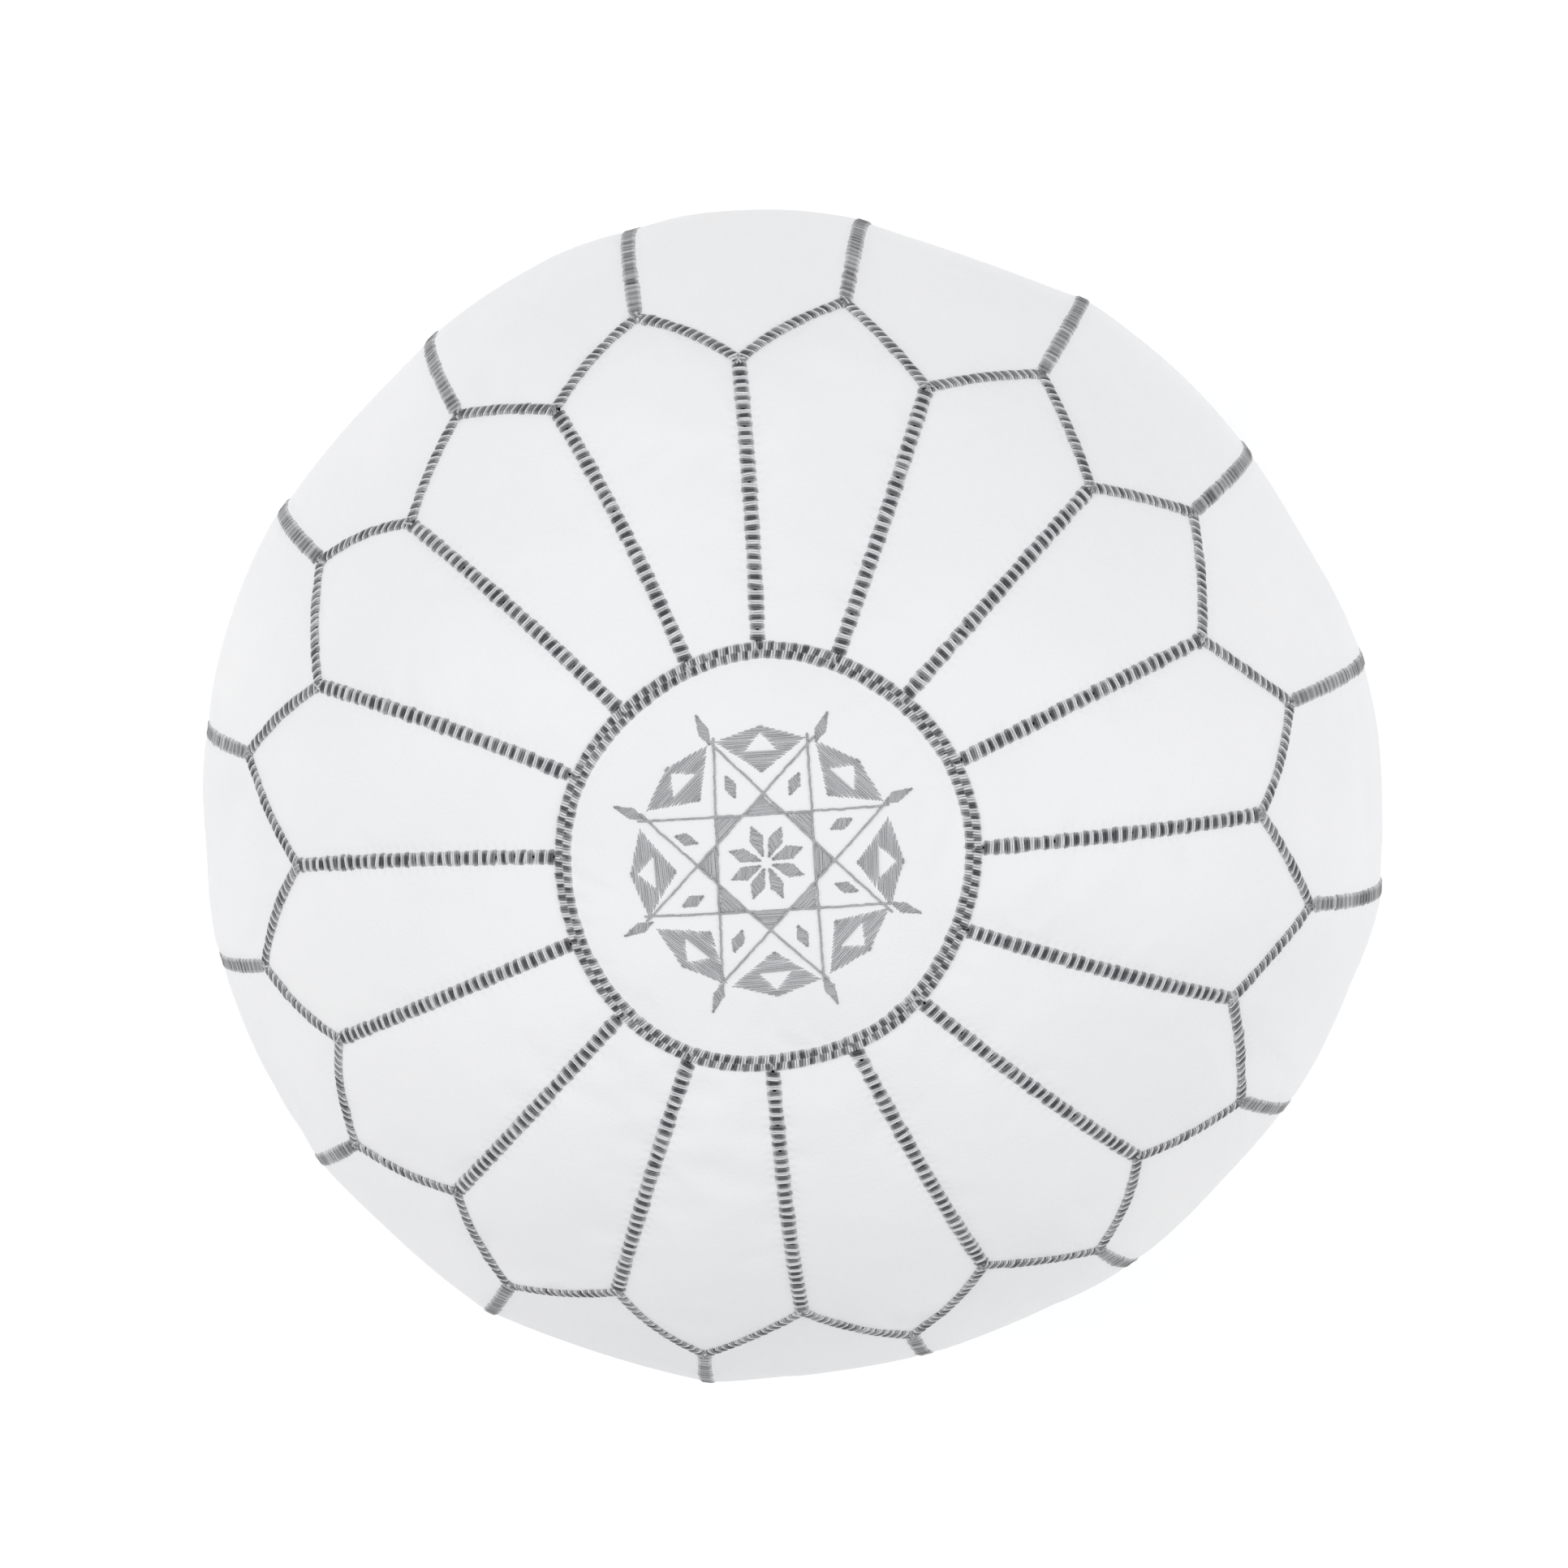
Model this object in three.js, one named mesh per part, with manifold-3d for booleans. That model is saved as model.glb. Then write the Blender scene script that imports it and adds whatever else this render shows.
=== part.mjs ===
// A round stuffed leather floor pouf: an embroidered medallion ringed by sixteen petals, sixteen side
// panels, and a base of two halves that a zip joins. It holds a stuffed inner bag.
// Millimetres, +Z up, the origin on the floor under the middle, the zip along X.
import * as THREE from "three";
import { mergeVertices } from "three/addons/utils/BufferGeometryUtils.js";
import Module from "manifold-3d";

// Overall form
const PETALS = 16;
const WIDEST_RADIUS = 265;
const WIDEST_HEIGHT = 158;
const TOTAL_HEIGHT = 335;
const DOME_SQUARENESS = 2.1;
const UNDERSIDE_DEPTH = 180;
const UNDERSIDE_SQUARENESS = 3.2;

// Seam places, as plan radii on the dome
const MEDALLION_RADIUS = 86.5;
const VALLEY_RADIUS = 205.5;
const TIP_RADIUS = 230;

// Leather and thread
const LEATHER = 1.6;
const GAP = 0.3;
const SEAM_BAND = 8;
const ZIGZAG_BAND = 7.6;
const FOOT_BAND = 5;
const THREAD = 0.8;
const THREAD_LIFT = 0.45;

// Facets
const CELLS_ACROSS = 4;
const PETAL_CELLS = 4;
const SIDE_CELLS = 10;
const CELLS_ROUND = CELLS_ACROSS * PETALS;

// Base and zip
const BASE_EDGE_HEIGHT = 0.3;
const BASE_RADIUS = 187.6;
const SLOT_HALF_LENGTH = 138;
const SLOT_HALF_WIDTH = 7.5;
const VALLEY_DEPTH = 5.4;
const VALLEY_HALF_WIDTH = 45;
const VALLEY_HALF_LENGTH = 152;
const VALLEY_FADE = 34;
const TAPE_THICKNESS = 0.6;
const TAPE_Z = 7.3;
const TAPE_HALF_LENGTH = 150;
const TAPE_INNER = 3.9;
const TAPE_OUTER = 19;
const TOOTH_PITCH = 7;
const TOOTH_COUNT = 38;
const TOOTH_THICKNESS = 2.4;
const TEETH_HALF_LENGTH = (TOOTH_PITCH * TOOTH_COUNT) / 2;
const SLIDER_REST_X = 125;

// Inner bag and stuffing
const BAG_INSET = 4;
const BAG_WALL = 0.8;
const BAG_FLOOR = 2.8;
const STUFFING_INSET = 6;
const BAG_FOOT_RISE = 8;
const BAG_SEGMENTS = 32;
const BAG_STATIONS = 10;
const CHANNEL_HALF_LENGTH = 240;
const CHANNEL_HALF_WIDTH = 48;
const CHANNEL_HEIGHT = 11.4;
const MOUTH_HALF_LENGTH = 130;
const MOUTH_HALF_WIDTH = 5;

const STEP = (2 * Math.PI) / PETALS;
const wasm = await Module();
wasm.setup();

// ---- The skin's profile, from the middle of the top, over the widest girth, down to the floor

class Meridian extends THREE.Curve {
  constructor() {
    super();
    this.arcLengthDivisions = 3000;
    this.lowest = Math.asin((WIDEST_HEIGHT / UNDERSIDE_DEPTH) ** (UNDERSIDE_SQUARENESS / 2));
  }

  getPoint(t, target = new THREE.Vector3()) {
    const above = t < 0.5;
    const turn = above ? (0.5 - t) * Math.PI : (2 * t - 1) * this.lowest;
    const power = 2 / (above ? DOME_SQUARENESS : UNDERSIDE_SQUARENESS);
    const rise = above ? TOTAL_HEIGHT - WIDEST_HEIGHT : -UNDERSIDE_DEPTH;
    const radius = WIDEST_RADIUS * Math.max(0, Math.cos(turn)) ** power;
    return target.set(radius, 0, WIDEST_HEIGHT + rise * Math.sin(turn) ** power);
  }
}

const meridian = new Meridian();
const MERIDIAN_LENGTH = meridian.getLength();

// A place on the skin: angle round the pouf, distance run down from the middle of the top, height off it.
function skinPoint(angle, run, lift) {
  const u = THREE.MathUtils.clamp(run / MERIDIAN_LENGTH, 0, 1);
  const at = meridian.getPointAt(u);
  const before = meridian.getPointAt(Math.max(0, u - 0.002));
  const after = meridian.getPointAt(Math.min(1, u + 0.002));
  const down = u === 0 ? new THREE.Vector3(1, 0, 0) : after.sub(before).normalize();
  const radius = at.x - down.z * lift;
  return new THREE.Vector3(radius * Math.cos(angle), radius * Math.sin(angle), at.z + down.x * lift);
}

// The distance run down from the top at which a test first holds, by halving.
function runWhere(reached) {
  let low = 0;
  let high = MERIDIAN_LENGTH;
  for (let i = 0; i < 50; i++) {
    const middle = (low + high) / 2;
    if (reached(meridian.getPointAt(middle / MERIDIAN_LENGTH))) high = middle;
    else low = middle;
  }
  return high;
}

const GIRTH_RUN = runWhere((p) => p.z <= WIDEST_HEIGHT + 0.01);
const runAtRadius = (radius) => runWhere((p) => p.x >= radius || p.z < WIDEST_HEIGHT);
const MEDALLION_RUN = runAtRadius(MEDALLION_RADIUS);
const VALLEY_RUN = runAtRadius(VALLEY_RADIUS);
const TIP_RUN = runAtRadius(TIP_RADIUS);
const BASE_RUN = runWhere((p) => p.z <= BASE_EDGE_HEIGHT);

// ---- Solids

function material(color, roughness, metalness = 0) {
  return new THREE.MeshStandardMaterial({ color, roughness, metalness });
}

const whiteLeather = material(0xf1f1f3, 0.5);
const greyThread = material(0x7d7d82, 0.8);
const paleThread = material(0xa9a9ae, 0.7);
const whiteTape = material(0xe4e4e2, 0.9);
const whiteTeeth = material(0xeaeaea, 0.4);
const nickel = material(0xc4c5c8, 0.3, 1);
const calico = material(0xe6e0d2, 0.95);
const cottonFill = material(0xeeeae0, 1);

const pouf = new THREE.Group();

function add(name, geometry, finish) {
  const mesh = new THREE.Mesh(geometry, finish);
  mesh.name = name;
  pouf.add(mesh);
  return mesh;
}

// Moves each vertex of a geometry to the place that a function gives for its own x, y and z.
function placed(geometry, place) {
  const at = geometry.getAttribute("position");
  for (let i = 0; i < at.count; i++) {
    const p = place(at.getX(i), at.getY(i), at.getZ(i));
    at.setXYZ(i, p.x, p.y, p.z);
  }
  geometry.computeVertexNormals();
  return geometry;
}

// A box of several cells, with across from 1 to -1, down from 0 to 1 and out from 0 to 1.
function blank(cellsAcross, cellsDown, place) {
  const box = new THREE.BoxGeometry(2, 1, 1, cellsAcross, cellsDown, 1);
  return placed(box, (x, y, z) => place(-x, y + 0.5, z + 0.5));
}

// A disc of several rings, with ring from 0 at its middle to 1 at its rim and out from 0 to 1.
function roundBlank(segments, rings, place) {
  const outline = [];
  for (let i = 0; i <= rings; i++) outline.push(new THREE.Vector2(i / rings, 0));
  for (let i = rings; i >= 0; i--) outline.push(new THREE.Vector2(i / rings, 1));
  const lathe = new THREE.LatheGeometry(outline, segments);
  lathe.rotateX(Math.PI / 2);
  return placed(lathe, (x, y, z) => place(Math.atan2(y, x), Math.hypot(x, y), z));
}

function solidOf(geometry) {
  const bare = geometry.clone();
  bare.deleteAttribute("normal");
  bare.deleteAttribute("uv");
  const merged = mergeVertices(bare, 1e-3);
  const mesh = new wasm.Mesh({
    numProp: 3,
    vertProperties: new Float32Array(merged.attributes.position.array),
    triVerts: new Uint32Array(merged.index.array),
  });
  return new wasm.Manifold(mesh);
}

function geometryOf(solid) {
  const mesh = solid.getMesh();
  const geometry = new THREE.BufferGeometry();
  geometry.setAttribute("position", new THREE.BufferAttribute(mesh.vertProperties, 3));
  geometry.setIndex(new THREE.BufferAttribute(mesh.triVerts, 1));
  geometry.computeVertexNormals();
  return geometry;
}

const joined = (geometries) => geometryOf(geometries.map(solidOf).reduce((a, b) => a.add(b)));

function block(low, high) {
  const box = new THREE.BoxGeometry(high[0] - low[0], high[1] - low[1], high[2] - low[2]);
  return box.translate((low[0] + high[0]) / 2, (low[1] + high[1]) / 2, (low[2] + high[2]) / 2);
}

// ---- Leather: the medallion, the petals and the side panels

const mix = THREE.MathUtils.lerp;

function medallion() {
  const rim = MEDALLION_RUN - GAP / 2;
  return roundBlank(CELLS_ROUND, 2, (angle, ring, out) =>
    skinPoint(angle, ring * rim, (out - 1) * LEATHER));
}

// A petal is a wedge with a pointed end: its tip is in the middle and its two valleys at the sides.
function petal(middle) {
  return blank(CELLS_ACROSS, PETAL_CELLS, (across, down, out) => {
    const end = mix(TIP_RUN, VALLEY_RUN, Math.abs(across)) - GAP / 2;
    const run = mix(MEDALLION_RUN + GAP / 2, end, down);
    const radius = skinPoint(0, run, 0).x;
    const angle = middle + across * (STEP / 2 - GAP / 2 / radius);
    return skinPoint(angle, run, (out - 1) * LEATHER);
  });
}

// A side panel's top edge dips to a valley in its middle, and its foot is at the base.
function sidePanel(middle) {
  return blank(CELLS_ACROSS, SIDE_CELLS, (across, down, out) => {
    const start = mix(VALLEY_RUN, TIP_RUN, Math.abs(across)) + GAP / 2;
    const run = mix(start, BASE_RUN, down);
    const radius = skinPoint(0, run, 0).x;
    const angle = middle + across * (STEP / 2 - GAP / 2 / radius);
    return skinPoint(angle, run, (out - 1) * LEATHER);
  });
}

// ---- Thread: flat bands that stand for the rows of hand stitches over the seams

// A straight band down the skin. The run from top to foot is shared out in equal cells, like the panels',
// and the band covers what lies between its start and its end.
function seamBand(angle, [top, foot], [start, end], cells) {
  return blank(1, cells, (across, down, out) => {
    const run = THREE.MathUtils.clamp(mix(top, foot, down), start, end);
    const sideways = (across * SEAM_BAND) / 2 / skinPoint(0, run, 0).x;
    return skinPoint(angle + sideways, run, THREAD_LIFT + out * THREAD);
  });
}

// A closed band round the skin, whose run from the top may change with the angle.
function ringBand(runAt, width, segments) {
  const corners = [[1, 0], [2, 0], [2, 1], [1, 1], [1, 0]].map(([x, y]) => new THREE.Vector2(x, y));
  const ring = new THREE.LatheGeometry(corners, segments).rotateX(Math.PI / 2);
  return placed(ring, (x, y, z) => {
    const angle = Math.atan2(y, x);
    const run = runAt(angle) + (Math.hypot(x, y) - 1.5) * width;
    return skinPoint(angle, run, THREAD_LIFT + z * THREAD);
  });
}

function medallionRingStitching() {
  return ringBand(() => MEDALLION_RUN, SEAM_BAND, CELLS_ROUND);
}

// Runs back and forth between the petals' valleys, at whole steps, and their tips, at half steps.
function zigzagRun(angle) {
  const steps = Math.abs(angle) / STEP;
  return mix(VALLEY_RUN, TIP_RUN, 2 * Math.abs(steps - Math.round(steps)));
}

function petalSeamStitching() {
  const bands = [ringBand(zigzagRun, ZIGZAG_BAND, 6 * PETALS)];
  const start = MEDALLION_RUN + SEAM_BAND / 2 + GAP;
  for (let k = 0; k < PETALS; k++) {
    const seam = seamBand(k * STEP, [MEDALLION_RUN, VALLEY_RUN], [start, VALLEY_RUN], PETAL_CELLS);
    bands.push(seam);
  }
  return joined(bands);
}

function sideSeamStitching() {
  const foot = BASE_RUN - FOOT_BAND;
  const start = TIP_RUN + ZIGZAG_BAND / 2 + GAP;
  const bands = [ringBand(() => foot, FOOT_BAND, CELLS_ROUND)];
  for (let k = 0; k < PETALS; k++) {
    bands.push(seamBand((k + 0.5) * STEP, [TIP_RUN, BASE_RUN], [start, foot], SIDE_CELLS));
  }
  return joined(bands);
}

// The star's stitched field: a sixteen-sided plate whose corners are at the star points and between them.
function embroidery() {
  const POINT_RADIUS = 65;
  const BETWEEN_RADIUS = 58;
  return roundBlank(PETALS, 3, (angle, ring, out) => {
    const isPoint = Math.abs(Math.round(angle / STEP) % 2) === 1;
    const run = ring * (isPoint ? POINT_RADIUS : BETWEEN_RADIUS);
    return skinPoint(angle, run, THREAD_LIFT + out * THREAD);
  });
}

// ---- The base: two half discs whose inner edges lift clear of the floor beside the zip

function valleyHeight(x, y) {
  const beside = (Math.abs(y) - SLOT_HALF_WIDTH) / (VALLEY_HALF_WIDTH - SLOT_HALF_WIDTH);
  const beyond = (Math.abs(x) - VALLEY_HALF_LENGTH) / VALLEY_FADE;
  const fade = (t) => 1 - THREE.MathUtils.smoothstep(t, 0, 1);
  return VALLEY_DEPTH * fade(beside) * fade(beyond);
}

function baseHalf(side) {
  const slab = new THREE.BoxGeometry(2, 1, LEATHER, 18, 7, 1);
  const reach = BASE_RADIUS + 5;
  placed(slab, (x, y, z) => {
    const wide = Math.sign(x) * reach * Math.abs(x) ** 0.8;
    const deep = side * reach * (side * y + 0.5) ** 2.2;
    return new THREE.Vector3(wide, deep, z + LEATHER / 2 + valleyHeight(wide, deep));
  });
  const disc = new THREE.CylinderGeometry(BASE_RADIUS, BASE_RADIUS, 40, 64).rotateX(Math.PI / 2);
  const seamLine = block([-reach - 10, -GAP / 2, -20], [reach + 10, GAP / 2, 20]);
  const slot = block(
    [-SLOT_HALF_LENGTH, -SLOT_HALF_WIDTH, -20],
    [SLOT_HALF_LENGTH, SLOT_HALF_WIDTH, 20],
  );
  return geometryOf(
    solidOf(slab).intersect(solidOf(disc)).subtract(solidOf(seamLine)).subtract(solidOf(slot)),
  );
}

// ---- The zip, its outer face to the floor

function zipTape(side) {
  const edges = [side * TAPE_INNER, side * TAPE_OUTER].sort((a, b) => a - b);
  return block(
    [-TAPE_HALF_LENGTH, edges[0], TAPE_Z],
    [TAPE_HALF_LENGTH, edges[1], TAPE_Z + TAPE_THICKNESS],
  );
}

const TEETH_BACK = 3.6;
const TEETH_ROOT = 2.4;
const TEETH_TIP = 0.8;
const TAPE_MIDDLE = TAPE_Z + TAPE_THICKNESS / 2;
const STOP_LENGTH = 2.8;
const STOP_THICKNESS = 2.8;

// One row of teeth on its bead. The two rows are a divider's width apart and half a pitch out of step.
function zipTeeth(side) {
  const shift = side > 0 ? 0 : TOOTH_PITCH / 2;
  const comb = new THREE.Shape();
  comb.moveTo(-TEETH_HALF_LENGTH, TEETH_BACK);
  comb.lineTo(-TEETH_HALF_LENGTH, TEETH_ROOT);
  for (let i = 0; i < TOOTH_COUNT - 1; i++) {
    const x = -TEETH_HALF_LENGTH + shift + i * TOOTH_PITCH + 1;
    comb.lineTo(x, TEETH_ROOT);
    comb.lineTo(x + 0.4, TEETH_TIP);
    comb.lineTo(x + 2.6, TEETH_TIP);
    comb.lineTo(x + 3, TEETH_ROOT);
  }
  comb.lineTo(TEETH_HALF_LENGTH, TEETH_ROOT);
  comb.lineTo(TEETH_HALF_LENGTH, TEETH_BACK);
  const row = new THREE.ExtrudeGeometry(comb, { depth: TOOTH_THICKNESS, bevelEnabled: false });
  row.translate(0, 0, TAPE_MIDDLE - TOOTH_THICKNESS / 2);
  return side > 0 ? row : row.rotateX(Math.PI).translate(0, 0, 2 * TAPE_MIDDLE);
}

function topStop(side) {
  const edges = [side * TEETH_TIP, side * TEETH_BACK].sort((a, b) => a - b);
  const start = TEETH_HALF_LENGTH + GAP;
  return block(
    [start, edges[0], TAPE_MIDDLE - STOP_THICKNESS / 2],
    [start + STOP_LENGTH, edges[1], TAPE_MIDDLE + STOP_THICKNESS / 2],
  );
}

function bottomStop() {
  const end = -TEETH_HALF_LENGTH - GAP;
  return block(
    [end - STOP_LENGTH, -TEETH_BACK, TAPE_MIDDLE - STOP_THICKNESS / 2],
    [end, TEETH_BACK, TAPE_MIDDLE + STOP_THICKNESS / 2],
  );
}

const PLATE = 1;
const OUTER_PLATE_Z = 4.9;
const INNER_PLATE_Z = 9.3;
const BRIDGE_BAR_Z = 1.8;
const PULL_PIVOT_X = SLIDER_REST_X - 2.2;
const PULL_PIVOT_Z = 3.95;

// A slider plate, wide at the end where the tapes part and narrower where they leave together.
function sliderPlate(z) {
  const outline = new THREE.Shape();
  outline.moveTo(7.5, -4.2);
  outline.lineTo(7.5, 4.2);
  outline.quadraticCurveTo(6.5, 5.6, 4, 5.6);
  outline.lineTo(-6, 5.5);
  outline.quadraticCurveTo(-7.5, 5.4, -7.5, 4.4);
  outline.lineTo(-7.5, -4.4);
  outline.quadraticCurveTo(-7.5, -5.4, -6, -5.5);
  outline.lineTo(4, -5.6);
  outline.quadraticCurveTo(6.5, -5.6, 7.5, -4.2);
  const settings = { depth: PLATE, bevelEnabled: false, curveSegments: 4 };
  return new THREE.ExtrudeGeometry(outline, settings).translate(0, 0, z);
}

function zipSlider() {
  const LIP_HEIGHT = 0.8;
  const pieces = [
    sliderPlate(OUTER_PLATE_Z),
    sliderPlate(INNER_PLATE_Z),
    block([5, -0.45, OUTER_PLATE_Z + 0.5], [7.2, 0.45, INNER_PLATE_Z + 0.5]),
  ];
  for (const side of [-1, 1]) {
    const edges = [side * 4.7, side * 5.45].sort((a, b) => a - b);
    const outerLip = OUTER_PLATE_Z + PLATE + LIP_HEIGHT;
    pieces.push(block([-6, edges[0], OUTER_PLATE_Z + 0.5], [4, edges[1], outerLip]));
    pieces.push(block([-6, edges[0], INNER_PLATE_Z - LIP_HEIGHT], [4, edges[1], INNER_PLATE_Z + 0.5]));
  }
  const arch = new THREE.Shape();
  arch.moveTo(-5, 0);
  arch.lineTo(-5, -1.9);
  arch.quadraticCurveTo(-4.8, -3.1, -3.4, -3.1);
  arch.lineTo(3.4, -3.1);
  arch.quadraticCurveTo(4.8, -3.1, 5, -1.9);
  arch.lineTo(5, 0);
  arch.lineTo(3.4, 0);
  arch.lineTo(3.4, -1.9);
  arch.lineTo(-3.4, -1.9);
  arch.lineTo(-3.4, 0);
  const settings = { depth: 3, bevelEnabled: false, curveSegments: 4 };
  const bridge = new THREE.ExtrudeGeometry(arch, settings).rotateX(Math.PI / 2);
  pieces.push(bridge.translate(0, 1.5, OUTER_PLATE_Z + 0.04));
  return joined(pieces).translate(SLIDER_REST_X, 0, 0);
}

// A flat tab that lies along the zip. The slider's bridge passes through its eye.
function zipPull() {
  const THICKNESS = 1.1;
  const outline = new THREE.Shape();
  outline.moveTo(0.55, -3.3);
  outline.lineTo(0.55, 3.3);
  outline.lineTo(-10, 3.3);
  outline.quadraticCurveTo(-15, 2.4, -18, 4);
  outline.quadraticCurveTo(-24.5, 4.6, -25, 0);
  outline.quadraticCurveTo(-24.5, -4.6, -18, -4);
  outline.quadraticCurveTo(-15, -2.4, -10, -3.3);
  const eye = new THREE.Path();
  eye.moveTo(-0.55, -1.95);
  eye.lineTo(-0.55, 1.95);
  eye.lineTo(-8, 1.95);
  eye.lineTo(-8, -1.95);
  outline.holes.push(eye);
  const settings = { depth: THICKNESS, bevelEnabled: false, curveSegments: 6 };
  const tab = new THREE.ExtrudeGeometry(outline, settings);
  return tab.translate(PULL_PIVOT_X, 0, PULL_PIVOT_Z - THICKNESS / 2);
}

// A row of machine stitches beside the zip, under the leather's turned edge.
function zipStitch(side) {
  const STITCH_Y = 11;
  const STITCH_WIDTH = 0.9;
  const STITCH_THICKNESS = 0.5;
  return blank(1, 12, (across, down, out) => {
    const x = mix(-SLOT_HALF_LENGTH - 2, SLOT_HALF_LENGTH + 2, down);
    const y = side * STITCH_Y + (across * STITCH_WIDTH) / 2;
    const z = valleyHeight(x, y) - 0.45 - (1 - out) * STITCH_THICKNESS;
    return new THREE.Vector3(x, y, z);
  });
}

// ---- Inside: the calico bag, open along the zip, and its stuffing

function lathedBody(inset, floor) {
  const foot = runWhere((p) => p.z <= floor + BAG_FOOT_RISE);
  const outline = [new THREE.Vector2(0, floor), new THREE.Vector2(BASE_RADIUS - 3 * inset, floor)];
  for (let i = BAG_STATIONS; i > 0; i--) {
    const p = skinPoint(0, (i / BAG_STATIONS) * foot, -inset);
    outline.push(new THREE.Vector2(p.x, p.z));
  }
  outline.push(new THREE.Vector2(0, TOTAL_HEIGHT - inset));
  return new THREE.LatheGeometry(outline, BAG_SEGMENTS).rotateX(Math.PI / 2);
}

function channel(growth) {
  return block(
    [-CHANNEL_HALF_LENGTH - growth, -CHANNEL_HALF_WIDTH - growth, -5],
    [CHANNEL_HALF_LENGTH + growth, CHANNEL_HALF_WIDTH + growth, CHANNEL_HEIGHT + growth],
  );
}

function innerBag() {
  const outside = solidOf(lathedBody(BAG_INSET, BAG_FLOOR)).subtract(solidOf(channel(0)));
  const inset = BAG_INSET + BAG_WALL;
  const hollow = solidOf(lathedBody(inset, BAG_FLOOR + BAG_WALL)).subtract(solidOf(channel(BAG_WALL)));
  const mouth = block(
    [-MOUTH_HALF_LENGTH, -MOUTH_HALF_WIDTH, CHANNEL_HEIGHT - 5],
    [MOUTH_HALF_LENGTH, MOUTH_HALF_WIDTH, CHANNEL_HEIGHT + 5],
  );
  return geometryOf(outside.subtract(hollow).subtract(solidOf(mouth)));
}

function stuffing() {
  const clear = STUFFING_INSET - BAG_INSET;
  const whole = solidOf(lathedBody(STUFFING_INSET, BAG_FLOOR + clear));
  return geometryOf(whole.subtract(solidOf(channel(clear))));
}

// ---- Assembly

const two = (n) => String(n).padStart(2, "0");

add("medallion", medallion(), whiteLeather);
for (let k = 0; k < PETALS; k++) {
  add(`petal_${two(k + 1)}`, petal((k + 0.5) * STEP), whiteLeather);
  add(`side_panel_${two(k + 1)}`, sidePanel(k * STEP), whiteLeather);
}
add("medallion_embroidery", embroidery(), paleThread);
add("medallion_ring_stitching", medallionRingStitching(), greyThread);
add("petal_seam_stitching", petalSeamStitching(), greyThread);
add("side_seam_stitching", sideSeamStitching(), greyThread);
for (const [hand, side] of [["left", 1], ["right", -1]]) {
  add(`base_half_${hand}`, baseHalf(side), whiteLeather);
  add(`zip_tape_${hand}`, zipTape(side), whiteTape);
  add(`zip_teeth_${hand}`, zipTeeth(side), whiteTeeth);
  add(`zip_stitch_${hand}`, zipStitch(side), greyThread);
  add(`zip_top_stop_${hand}`, topStop(side), nickel);
}
add("zip_bottom_stop", bottomStop(), nickel);
add("zip_slider", zipSlider(), nickel);
add("zip_pull", zipPull(), nickel);
add("inner_bag", innerBag(), calico);
add("stuffing", stuffing(), cottonFill);

export default pouf;
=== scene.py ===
"""A round stuffed floor pouf of white leather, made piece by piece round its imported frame.

A cloth simulation stuffs one sewn skin, whose seams are held. The skin is then cut into its
petals, side panels and medallion, and every row of hand stitches is laid over the stuffed leather,
thread by thread. Lengths are in metres, and the zip lies along X under the pouf.
"""

import math
from functools import lru_cache

import bmesh
import bpy
import numpy as np
from mathutils import Matrix, Vector
from mathutils.bvhtree import BVHTree
from mathutils.kdtree import KDTree


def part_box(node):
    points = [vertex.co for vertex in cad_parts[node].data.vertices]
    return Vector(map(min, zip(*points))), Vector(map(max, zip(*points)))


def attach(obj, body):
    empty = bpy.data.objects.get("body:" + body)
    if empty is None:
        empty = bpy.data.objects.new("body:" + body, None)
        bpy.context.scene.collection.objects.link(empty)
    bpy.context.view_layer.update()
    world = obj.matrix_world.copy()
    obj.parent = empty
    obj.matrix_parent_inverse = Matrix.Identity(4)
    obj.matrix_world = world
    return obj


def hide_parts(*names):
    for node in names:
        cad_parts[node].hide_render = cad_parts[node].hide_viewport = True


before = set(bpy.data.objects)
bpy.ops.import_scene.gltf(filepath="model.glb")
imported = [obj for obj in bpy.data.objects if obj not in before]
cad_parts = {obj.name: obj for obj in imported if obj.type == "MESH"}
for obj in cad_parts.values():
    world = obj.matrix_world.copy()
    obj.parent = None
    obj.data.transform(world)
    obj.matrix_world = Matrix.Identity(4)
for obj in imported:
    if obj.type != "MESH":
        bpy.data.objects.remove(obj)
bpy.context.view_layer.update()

bl_info = {
    "name": "Leather floor pouf",
    "version": (1, 0, 0),
    "blender": (4, 5, 0),
    "location": "3D View > Sidebar > Pouf",
    "description": "Makes a stuffed, hand-stitched leather pouf round its packed frame",
    "category": "Add Mesh",
}

MM = 0.001
TURN = 2 * math.pi
PETALS = 16
BODY, SLIDER, PULL = "pouf", "slider", "pull"


def low(node):
    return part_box(node)[0]


def high(node):
    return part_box(node)[1]


# ---------------------------------------------------------------- sizes and colours


def length(name, description, default):
    return bpy.props.FloatProperty(
        name=name, description=description, default=default, unit="LENGTH", precision=4
    )


def number(name, description, default):
    return bpy.props.FloatProperty(name=name, description=description, default=default)


def colour(name, description, default):
    return bpy.props.FloatVectorProperty(
        name=name, description=description, default=default, subtype="COLOR", size=3, min=0, max=1
    )


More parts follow.
